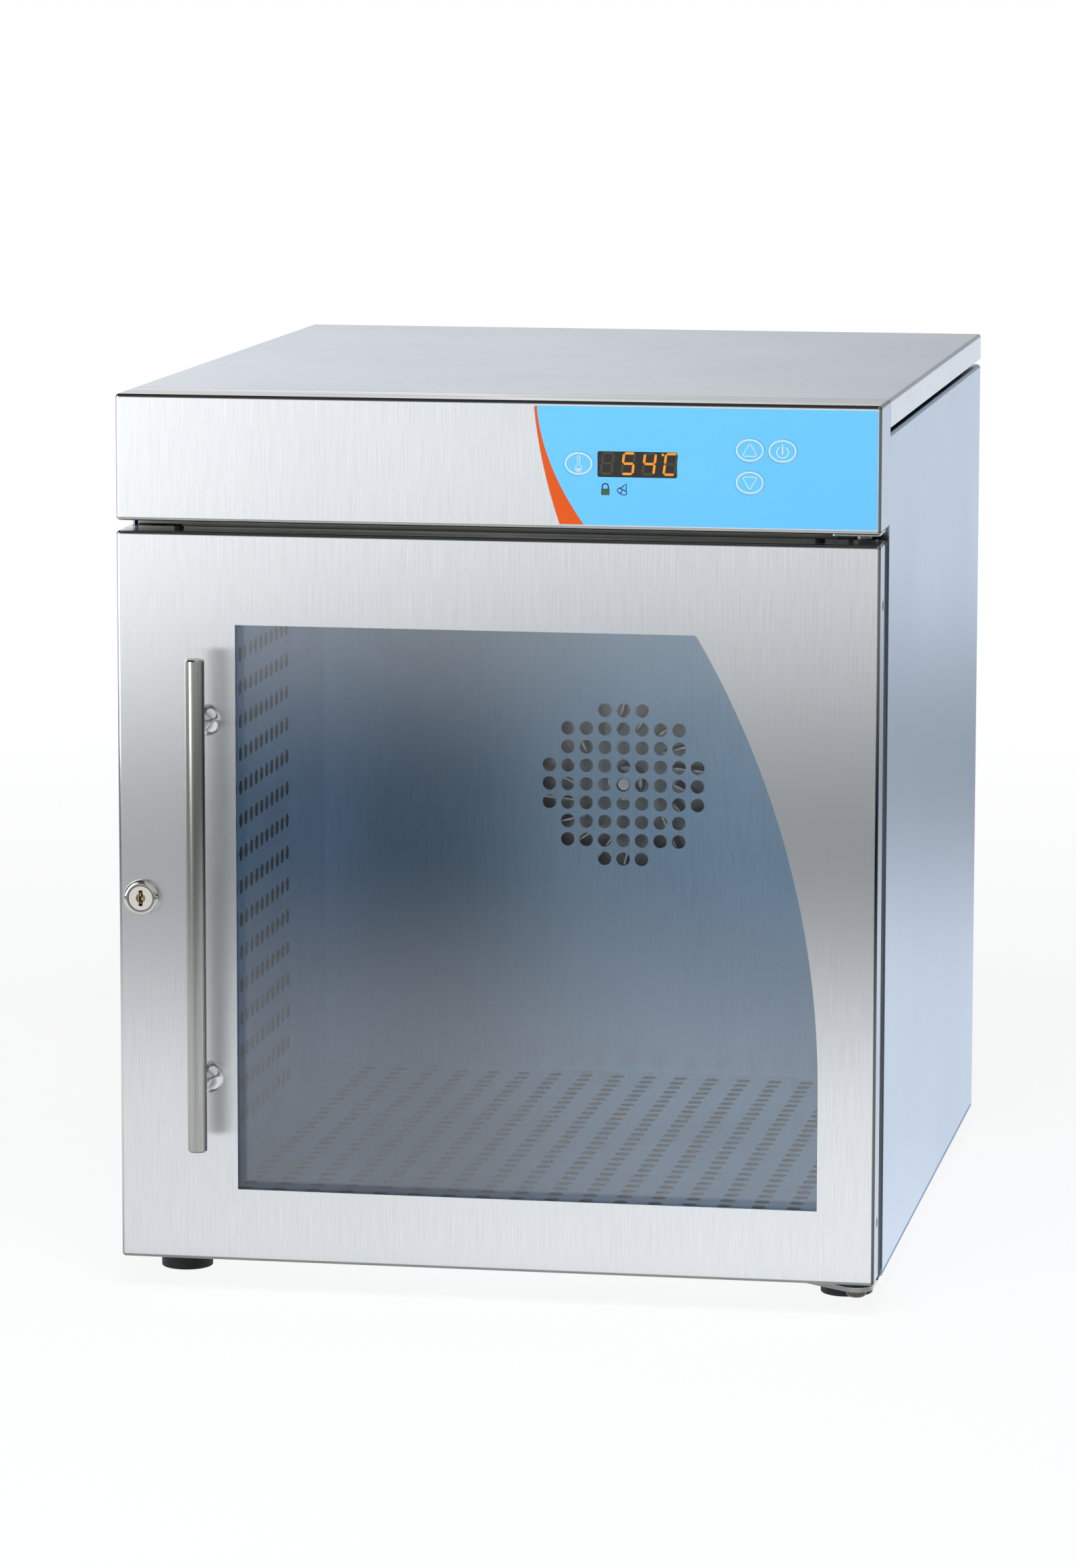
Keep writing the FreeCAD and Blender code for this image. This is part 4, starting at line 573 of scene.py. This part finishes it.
# Brass in the well's floor, made darker as painted shade of the recess.
well_brass_shade = finish("lock_well_brass_and_shade", "75684A", "96875F", (0.5, 0.5, 0.5), (0.3, 0.4), 0.002,
                 metal=1.0)
well_sides = []
for side in (1, -1):
    bpy.ops.object.select_all(action="DESELECT")
    bpy.ops.mesh.primitive_circle_add(vertices=well_steps + 1, radius=1.0, fill_type="NGON")
    half_well = bpy.context.object
    for count, v in enumerate(half_well.data.vertices):
        swing = math.radians(-well_half + 2 * well_half * count / well_steps)
        v.co = at(lock_x + side * well_r * math.cos(swing), well_y,
                  lock_z + well_r * math.sin(swing))
    thickened(half_well, coat_thick, 0.0)
    well_sides.append(half_well)
hang(joined_up(well_sides), "lock_well_floor", well_brass_shade, "lock", "lock_chrome")


# ---------- hinges ----------
# Two plates of bare steel with a turned pin each. The pins run in black acetal bushes pressed
# into the door, and the lower one carries the door's weight on a thrust washer.
plate_steel = finish("hinge_plate_steel", "8F9494", "A5AAAA", (1.0, 12.0, 1.0), (0.16, 0.24), 0.001,
                     metal=1.0)
acetal = finish("black_acetal", "101113", "1B1C1F", (0.8, 0.8, 0.8), (0.35, 0.45), 0.004)
clad(plate_steel, "hinge_bracket_top", "hinge_bracket_bottom")
pin_steel = finish("hinge_pin_steel", "5C5850", "736E64", (0.6, 0.6, 4.0), (0.24, 0.34), 0.002,
                   metal=1.0)
clad(pin_steel, "hinge_pins")
clad(acetal, "hinge_bushings", "thrust_washer")


# ---------- feet ----------
# Four feet of moulded rubber, matt and slightly dusty. A screw up through its middle holds each
# one to the base pan.
foot_rubber = finish("foot_rubber", "141518", "24262B", (0.7, 0.7, 0.7), (0.6, 0.78), 0.02)
clad(foot_rubber, "rubber_feet")


# ---------- screws ----------
# Steel screws with a cross recess: countersunk ones in the door's sides and pan heads in its top,
# both plated black, and bright pan heads in the back of the case.
dome_share = 0.55
blade_long = 1.15
blade_thick = 0.24


def cross_screw(name, radius, tall, bite, shank, length, sunk=False):
    """One screw on the origin with its top along +Z and a cross pressed into its head.

    A sunk head is a cone that ends flush with the sheet.
    """
    bpy.ops.object.select_all(action="DESELECT")
    if sunk:
        bpy.ops.mesh.primitive_cone_add(vertices=32, radius1=shank / 1000, radius2=radius / 1000,
                                        depth=tall / 1000, location=(0, 0, -tall / 2000))
    else:
        bpy.ops.mesh.primitive_cylinder_add(vertices=32, radius=radius / 1000, depth=tall / 1000,
                                            location=(0, 0, tall / 2000))
    head = bpy.context.object
    bpy.ops.object.transform_apply(location=True)
    if not sunk:
        dome = head.modifiers.new("dome", "BEVEL")
        dome.width = tall * dome_share / 1000
        dome.segments = 5
        dome.limit_method = "ANGLE"
        dome.angle_limit = math.radians(60)
        bpy.ops.object.modifier_apply(modifier="dome")
    for turn in (0, math.pi / 2):
        bpy.ops.object.select_all(action="DESELECT")
        bpy.ops.mesh.primitive_cube_add(size=1.0, location=(0, 0, 0 if sunk else tall / 1000),
                                        rotation=(0, 0, turn))
        blade = bpy.context.object
        blade.scale = (radius * blade_long / 1000, radius * blade_thick / 1000, bite * 2 / 1000)
        recess = head.modifiers.new("recess", "BOOLEAN")
        recess.object = blade
        recess.operation = "DIFFERENCE"
        bpy.context.view_layer.objects.active = head
        bpy.ops.object.modifier_apply(modifier="recess")
        bpy.data.objects.remove(blade)
    bpy.ops.object.select_all(action="DESELECT")
    bpy.ops.mesh.primitive_cylinder_add(vertices=20, radius=shank / 1000, depth=length / 1000,
                                        location=(0, 0, -length / 2000))
    bpy.ops.object.transform_apply(location=True)
    head.select_set(True)
    bpy.context.view_layer.objects.active = head
    bpy.ops.object.join()
    bpy.ops.object.shade_smooth_by_angle(angle=math.radians(40))
    head.name = name
    return head


def screw_set(pattern, places):
    """Copy a screw to each place, joined as one object; a place is (point, way out)."""
    copies = []
    for point, out in places:
        screw = pattern.copy()
        screw.data = pattern.data.copy()
        bpy.context.scene.collection.objects.link(screw)
        turn = Vector(out).to_track_quat("Z", "Y").to_matrix().to_4x4()
        screw.matrix_world = Matrix.Translation(at(*point)) @ turn
        copies.append(screw)
    bpy.data.objects.remove(pattern)
    return joined_up(copies)


rear_y = 587.0
column_x = 229.3
column_low = 17.0
column_rise = 523.0
row_x = 177.375
row_z = 552.5
rear_places = [((side * column_x, rear_y, column_low + column_rise * share), (0, 1, 0))
               for side in (-1, 1) for share in (0.08, 0.36, 0.64, 0.92)]
rear_places += [((x, rear_y, row_z), (0, 1, 0)) for x in (-row_x, 0, row_x)]
rear_screws = screw_set(cross_screw("rear_screw", radius=3.6, tall=2.0, bite=1.1, shank=2.0,
                                    length=6.0), rear_places)
hang(rear_screws, "case_cross_screws", zinc_bright, "root", "plated_steel", "case_screws")

black_zinc = finish("black_zinc", "121214", "222225", (0.8, 0.8, 0.8), (0.3, 0.42), 0.004,
                    metal=0.6)
side_face = 236.55
side_y = 14.2
top_face = 476.7
top_y = 15.6
side_places = [((side * side_face, side_y, z), (side, 0, 0))
               for side in (-1, 1) for z in (57.6, 438.7)]
top_places = [((x, top_y, top_face), (0, 0, 1)) for x in (-200.2, 197.8)]
door_head = {"radius": 3.2, "tall": 1.9, "bite": 1.0, "shank": 1.6, "length": 6.0}
side_screws = screw_set(cross_screw("side_screw", **door_head, sunk=True), side_places)
top_screws = screw_set(cross_screw("top_screw", **door_head), top_places)
hang(joined_up([side_screws, top_screws]), "door_cross_screws", black_zinc, "door", "screw_black",
     "door_screws")
clad(black_zinc, "door_screws")
clad(zinc_bright, "case_screws")


# ---------- control label ----------
# Polyester film over the keys, printed blue on its back, with a fine matt texture. Its left edge
# is an arc with an orange stripe that widens towards the bottom.
film_grain = (0.6, 0.6, 0.6)
film_rough = (0.4, 0.48)
film_blue = finish("printed_film_blue", "67C4FC", "6FC9FF", film_grain, film_rough, 0.001,
                   cloud=60.0)
clad(film_blue, "control_label", "key_set", "key_up", "key_down", "key_power")

film_front = -0.6
label_top = 558.0
label_low = 486.0
label_left = 24.4
label_lean = 16.0
label_bow = 2.2
corner_r = 1.0
corner_turn = 0.6
stripe_rows = 36
stripe_rise = 0.04
stripe_end = 0.2
stripe_inset = 0.1
stripe_wide = 1.65
stripe_taper = 0.01
stripe_swell = 0.0027
label_tall = label_top - label_low

bpy.ops.object.select_all(action="DESELECT")
bpy.ops.mesh.primitive_grid_add(x_subdivisions=1, y_subdivisions=stripe_rows, size=1.0,
                                rotation=(math.pi / 2, 0, 0))
stripe = bpy.context.object
bpy.ops.object.transform_apply(rotation=True)
for v in stripe.data.vertices:
    fallen = (0.5 - v.co.z) * (label_tall - 2 * stripe_end) + stripe_end
    share = fallen / label_tall
    edge = label_left + label_lean * share - 4 * label_bow * share * (1 - share) + stripe_inset
    edge += max(0.0, corner_r - fallen) ** 2 * corner_turn
    width = stripe_wide - stripe_taper * fallen + stripe_swell * fallen ** 2
    v.co = at(edge + (width if v.co.x > 0 else 0), film_front, label_top - fallen)
thickened(stripe, stripe_rise, 1.0)
ink_orange = finish("printed_film_orange", "DC5000", "E45A02", film_grain, film_rough, 0.001,
                    cloud=60.0)
hang(stripe, "label_stripe", ink_orange, "root", "label_film")


# ---------- key symbols ----------
# Pale ink lines on the film: an oval round each key, and in it a thermometer, two arrows and the
# standby sign. They move with their key.
ink_rise = 0.05


def stroke(points, width, front, closed=False):
    """Flat printed line through (x, z) points in mm, lying on the given face."""
    path = bpy.data.curves.new("stroke", "CURVE")
    path.dimensions = "3D"
    run = path.splines.new("POLY")
    run.points.add(len(points) - 1)
    for spot, (x, z) in zip(run.points, points):
        spot.co = (*at(x, front, z), 1)
    run.use_cyclic_u = closed
    path.bevel_depth = width / 2000
    path.bevel_resolution = 1
    path.use_fill_caps = not closed
    line = bpy.data.objects.new("stroke", path)
    bpy.context.scene.collection.objects.link(line)
    bpy.ops.object.select_all(action="DESELECT")
    line.select_set(True)
    bpy.context.view_layer.objects.active = line
    bpy.ops.object.convert(target="MESH")
    line = bpy.context.object
    face = at(0, front, 0).y
    for v in line.data.vertices:
        v.co.y = face + (v.co.y - face) * ink_rise / width
    return line


def arc(x, z, across, tall, start, end, count=32):
    """Points round an oval, angles in degrees from +X towards +Z."""
    return [(x + across * math.cos(math.radians(start + (end - start) * i / count)),
             z + tall * math.sin(math.radians(start + (end - start) * i / count)))
            for i in range(count + 1)]


key_front = -0.7
oval_line = 1.0
oval_wide = 8.0
oval_tall = 6.3
sign_line = 0.5
ink_pale = finish("printed_film_pale", "D8E2D6", "E4EDE2", film_grain, film_rough, 0.001,
                  cloud=60.0)
key_spots = {"key_set": (52.1, 523.1), "key_up": (156.7, 532.9), "key_down": (156.8, 513.3),
             "key_power": (176.6, 532.7)}


def arrow(x, z, way):
    """Rounded triangle pointing up or down."""
    corner, tip, foot, half = 0.8, 2.8, 2.7, 3.2
    points = arc(x, z + way * tip, corner, way * corner, 28, 152, 6)
    points += arc(x - half, z - way * foot, corner, way * corner, 152, 270, 6)
    points += arc(x + half, z - way * foot, corner, way * corner, 270, 388, 6)
    return [stroke(points, 0.6, key_front, closed=True)]


def thermometer(x, z):
    """Glass outline with a round bulb, and the filled half of the bulb."""
    bulb_z, bulb_r, tube_z, tube_r = z - 2.9, 2.0, z + 4.1, 0.72
    outline = arc(x, tube_z, tube_r, tube_r, 0, 180, 8)
    outline += arc(x, bulb_z, bulb_r, bulb_r, 111, 429, 24)
    filled = arc(x, bulb_z, 1.15, 1.15, 180, 360, 12)
    half = arc(x, bulb_z - 0.35, 0.6, 0.35, 180, 360, 8)
    return [stroke(line, width, key_front, closed=True)
            for line, width in ((outline, sign_line), (filled, 0.45), (half, 0.7))]


def standby(x, z):
    """Open ring with an upright bar in its gap."""
    ring_z, ring_r = z - 0.6, 3.5
    return [stroke(arc(x, ring_z, ring_r, ring_r, 118, 422, 30), 0.75, key_front),
            stroke([(x, z - 1.9), (x, z + 1.2), (x, z + 4.2)], 0.95, key_front)]


for name, (x, z) in key_spots.items():
    oval = arc(x, z, oval_wide, oval_tall, 0, 360, 64)[:-1]
    lines = [stroke(oval, oval_line, key_front, closed=True)]
    if name == "key_set":
        lines += thermometer(x, z)
    elif name == "key_power":
        lines += standby(x, z)
    else:
        lines += arrow(x, z, 1 if name == "key_up" else -1)
    hang(joined_up(lines), name + "_symbol", ink_pale, name + "_body", "label_film")


# ---------- display ----------
# Smoked window in the film with four slanted seven-segment digits behind it. Lit segments glow
# amber, the others show as faint olive bars.
smoked = finish("smoked_window", "0B0B0D", "111113", (1.0, 1.0, 1.0), (0.12, 0.16), 0.0003,
                cloud=30.0)
clad(smoked, "display_window")

digit_mid = 88.95
digit_z = 523.7
digit_pitch = 12.85
digit_tall = 12.5
digit_wide = 6.6
digit_slant = math.tan(math.radians(7.0))
bar_wide = 1.45
bar_gap = 0.18
dot_r = 0.8
dot_aside = 1.3
dot_drop = 0.6
lamp_front = -0.62
shapes = {
    "a": (0, 1, False), "g": (0, 0, False), "d": (0, -1, False),
    "f": (-1, 0.5, True), "b": (1, 0.5, True), "e": (-1, -0.5, True), "c": (1, -0.5, True),
}
reading = ["", "afgcd", "fgbc", "afed"]


def segment(x, z, upright):
    """One bar of a digit, pointed at both ends."""
    bpy.ops.object.select_all(action="DESELECT")
    bpy.ops.mesh.primitive_circle_add(vertices=6, radius=1.0, fill_type="NGON",
                                      rotation=(math.pi / 2, 0, 0))
    bar = bpy.context.object
    bpy.ops.object.transform_apply(rotation=True)
    half = (digit_tall / 2 if upright else digit_wide) / 2 - bar_gap
    across = bar_wide / 2
    outline = [(half, 0), (half - across, across), (across - half, across), (-half, 0),
               (across - half, -across), (half - across, -across)]
    spots = sorted(bar.data.vertices, key=lambda v: math.atan2(v.co.z, v.co.x) % math.tau)
    order = sorted(outline, key=lambda p: math.atan2(p[1], p[0]) % math.tau)
    for v, (along, aside) in zip(spots, order):
        u, w = (aside, along) if upright else (along, aside)
        v.co = at(x + u + (z + w - digit_z) * digit_slant, lamp_front, z + w)
    return bar


bars = {"lit": [], "unlit": []}
for count, lit_bars in enumerate(reading):
    middle = digit_mid + (count - 1.5) * digit_pitch
    for name, (side, level, upright) in shapes.items():
        bar = segment(middle + side * digit_wide / 2, digit_z + level * digit_tall / 2, upright)
        bars["lit" if name in lit_bars else "unlit"].append(bar)

dot_x = digit_mid + 1.5 * digit_pitch - digit_wide / 2 - dot_aside
dot_z = digit_z + digit_tall / 2 - dot_drop
bpy.ops.object.select_all(action="DESELECT")
bpy.ops.mesh.primitive_circle_add(vertices=20, radius=dot_r / 1000, fill_type="NGON",
                                  rotation=(math.pi / 2, 0, 0),
                                  location=at(dot_x, lamp_front, dot_z))
degree = bpy.context.object
bpy.ops.object.transform_apply(location=True, rotation=True)
bars["lit"].append(degree)

# Light-emitting bars in a moulded block: the lit ones are as bright as their colour is written.
amber = bpy.data.materials.new("amber_segments")
amber.use_nodes = True
tree = amber.node_tree
place = add(tree, "TexCoord", {}).outputs["Object"]
mottle = add(tree, "TexNoise", {"Vector": place, "Scale": 900.0, "Detail": 1.0})
amber_tint = add(tree, "Mix", {0: mottle.outputs["Fac"], 6: colour("F58A06"), 7: colour("FFAA22")},
                 data_type="RGBA")
shader = tree.nodes["Principled BSDF"]
tree.links.new(amber_tint.outputs[2], shader.inputs["Emission Color"])
shader.inputs["Emission Strength"].default_value = 1.0
shader.inputs["Base Color"].default_value = colour("3A1E02")
shader.inputs["Roughness"].default_value = 0.3
olive = finish("dark_segments", "3D3420", "484029", (0.8, 0.8, 0.8), (0.25, 0.35), 0.001)

for name, made in (("lit", amber), ("unlit", olive)):
    piece = joined_up(bars[name])
    thickened(piece, coat_thick, 0.0)
    hang(piece, "digit_segments_" + name, made, "root", "display_lens")


# ---------- status symbols ----------
# Two small signs printed on the film under the display: a dark green padlock for locked keys, its
# shackle and the bell of the alarm in navy.
lock_sign_x = 68.5
bell_x = 78.9
sign_z = 508.0
body_wide = 5.2
body_tall = 3.9
body_drop = 1.7
body_front = film_front - 0.02
shackle_r = 1.85
bell_line = 0.7
bpy.ops.object.select_all(action="DESELECT")
bpy.ops.mesh.primitive_plane_add(size=1.0, rotation=(math.pi / 2, 0, 0),
                                 location=at(lock_sign_x, body_front, sign_z - body_drop))
body = bpy.context.object
body.scale = (body_wide / 1000, body_tall / 1000, 1.0)
bpy.ops.object.transform_apply(location=True, rotation=True, scale=True)
thickened(body, coat_thick, -1.0)
ink_green = finish("printed_film_green", "34523C", "3F5F49", film_grain, film_rough, 0.001)
hang(body, "padlock_sign_body", ink_green, "root", "label_film")

ink_navy = finish("printed_film_navy", "0F1B3B", "18264F", film_grain, film_rough, 0.001)
shackle = [(lock_sign_x - shackle_r, sign_z + 0.2)]
shackle += arc(lock_sign_x, sign_z + 1.5, shackle_r, shackle_r, 180, 0, 12)
shackle += [(lock_sign_x + shackle_r, sign_z + 0.2)]
signs = [stroke(shackle, 0.8, film_front)]
bell = [(2.5, 3.3), (0.9, 2.3), (-0.4, 1.1), (-2.2, 0.7), (-3.1, -0.4), (-2.7, -1.5), (-1.4, -2.6),
        (0.6, -3.4), (2.3, -3.3), (2.7, -2.2), (2.3, -0.6), (2.4, 1.4)]
mouth = [(-2.2, 0.7), (-0.2, 0.2), (2.3, -1.2)]
clapper = [(0.2, -0.2), (-0.5, -1.4), (-1.2, -2.6)]
for outline, closed in ((bell, True), (mouth, False), (clapper, False)):
    points = [(bell_x + x, sign_z + z) for x, z in outline]
    signs.append(stroke(points, bell_line, film_front, closed=closed))
hang(joined_up(signs), "status_signs", ink_navy, "root", "label_film")


# ---------- electronics ----------
# Behind the film: display body, circuit board, small dome switches, the power supply on the
# shelf, the terminal block and the leads.
moulded_black = finish("moulded_black", "18191B", "242528", (1.0, 1.0, 1.0), (0.4, 0.52), 0.008)
board = finish("circuit_board_green", "0E4A26", "1B6B38", (0.8, 0.8, 3.0), (0.28, 0.4), 0.01)
supply_sheet = finish("supply_aluminium", "A9ACAE", "C0C3C5", (1.0, 22.0, 1.0), (0.28, 0.38), 0.004,
                      metal=1.0)
polyamide = finish("terminal_polyamide", "D2CDBD", "E0DCCD", (1.2, 1.2, 1.2), (0.42, 0.54), 0.008)
sleeve = finish("wire_sleeve", "77797C", "8D8F92", (2.0, 2.0, 2.0), (0.38, 0.5), 0.006)
clad(moulded_black, "display_module", "tact_switches", "power_inlet")
clad(board, "control_board")
clad(supply_sheet, "power_supply")
clad(polyamide, "terminal_block")
clad(sleeve, "wiring")


# ---------- air heater ----------
# Fan motor in grey enamel with a pressed aluminium wheel. The ring heater's sheath has taken the
# brown and blue tint of heat.
enamel = finish("motor_enamel", "2B2D30", "393C40", (2.0, 2.0, 2.0), (0.34, 0.46), 0.01)
pressed = finish("pressed_aluminium", "B3B5B7", "C6C8CA", (3.0, 3.0, 3.0), (0.3, 0.42), 0.006,
                 metal=1.0)
ground = finish("ground_shaft", "AFB0B2", "C4C5C7", (4.0, 0.4, 4.0), (0.16, 0.24), 0.002, metal=1.0)
tinted = finish("heat_tinted_sheath", "4E4038", "6F6C78", (18.0, 18.0, 18.0), (0.36, 0.5), 0.006,
                metal=1.0, cloud=40.0)
clad(enamel, "fan_motor")
clad(pressed, "fan_impeller")
clad(ground, "fan_shaft", "temperature_probe")
clad(tinted, "heater_element")


# ---------- insulation ----------
# Mineral wool batts, cut to lie between the chamber and the case: yellowish crossed fibres, soft
# and dull, with rounded edges and faces that sink a little where the fibres thin out.
wool = finish("mineral_wool", "A4935C", "CDBF88", (0.8, 6.0, 6.0), (0.9, 1.0), 0.6)
clad(wool, "insulation_batts")
fibre_size = 0.006
face_sink = 0.0007
tuft_sink = 0.0006
tufts_per_metre = 45.0
batts = nodes["insulation_batts"].copy()
batts.data = nodes["insulation_batts"].data.copy()
bpy.context.scene.collection.objects.link(batts)
bpy.ops.object.select_all(action="DESELECT")
batts.select_set(True)
bpy.context.view_layer.objects.active = batts
bpy.ops.object.mode_set(mode="EDIT")
bpy.ops.mesh.select_all(action="SELECT")
bpy.ops.mesh.remove_doubles(threshold=0.00001)
bpy.ops.object.mode_set(mode="OBJECT")
fibre_body = batts.modifiers.new("fibre_body", "REMESH")
fibre_body.mode = "VOXEL"
fibre_body.voxel_size = fibre_size
bpy.ops.object.modifier_apply(modifier="fibre_body")
ways = [v.normal.copy() for v in batts.data.vertices]
for v, way in zip(batts.data.vertices, ways):
    v.co -= way * (face_sink + tuft_sink * noise.noise(v.co * tufts_per_metre))
bpy.ops.object.shade_smooth()
hang(batts, "wool_batts", wool, "root", "mineral_wool", "insulation_batts")
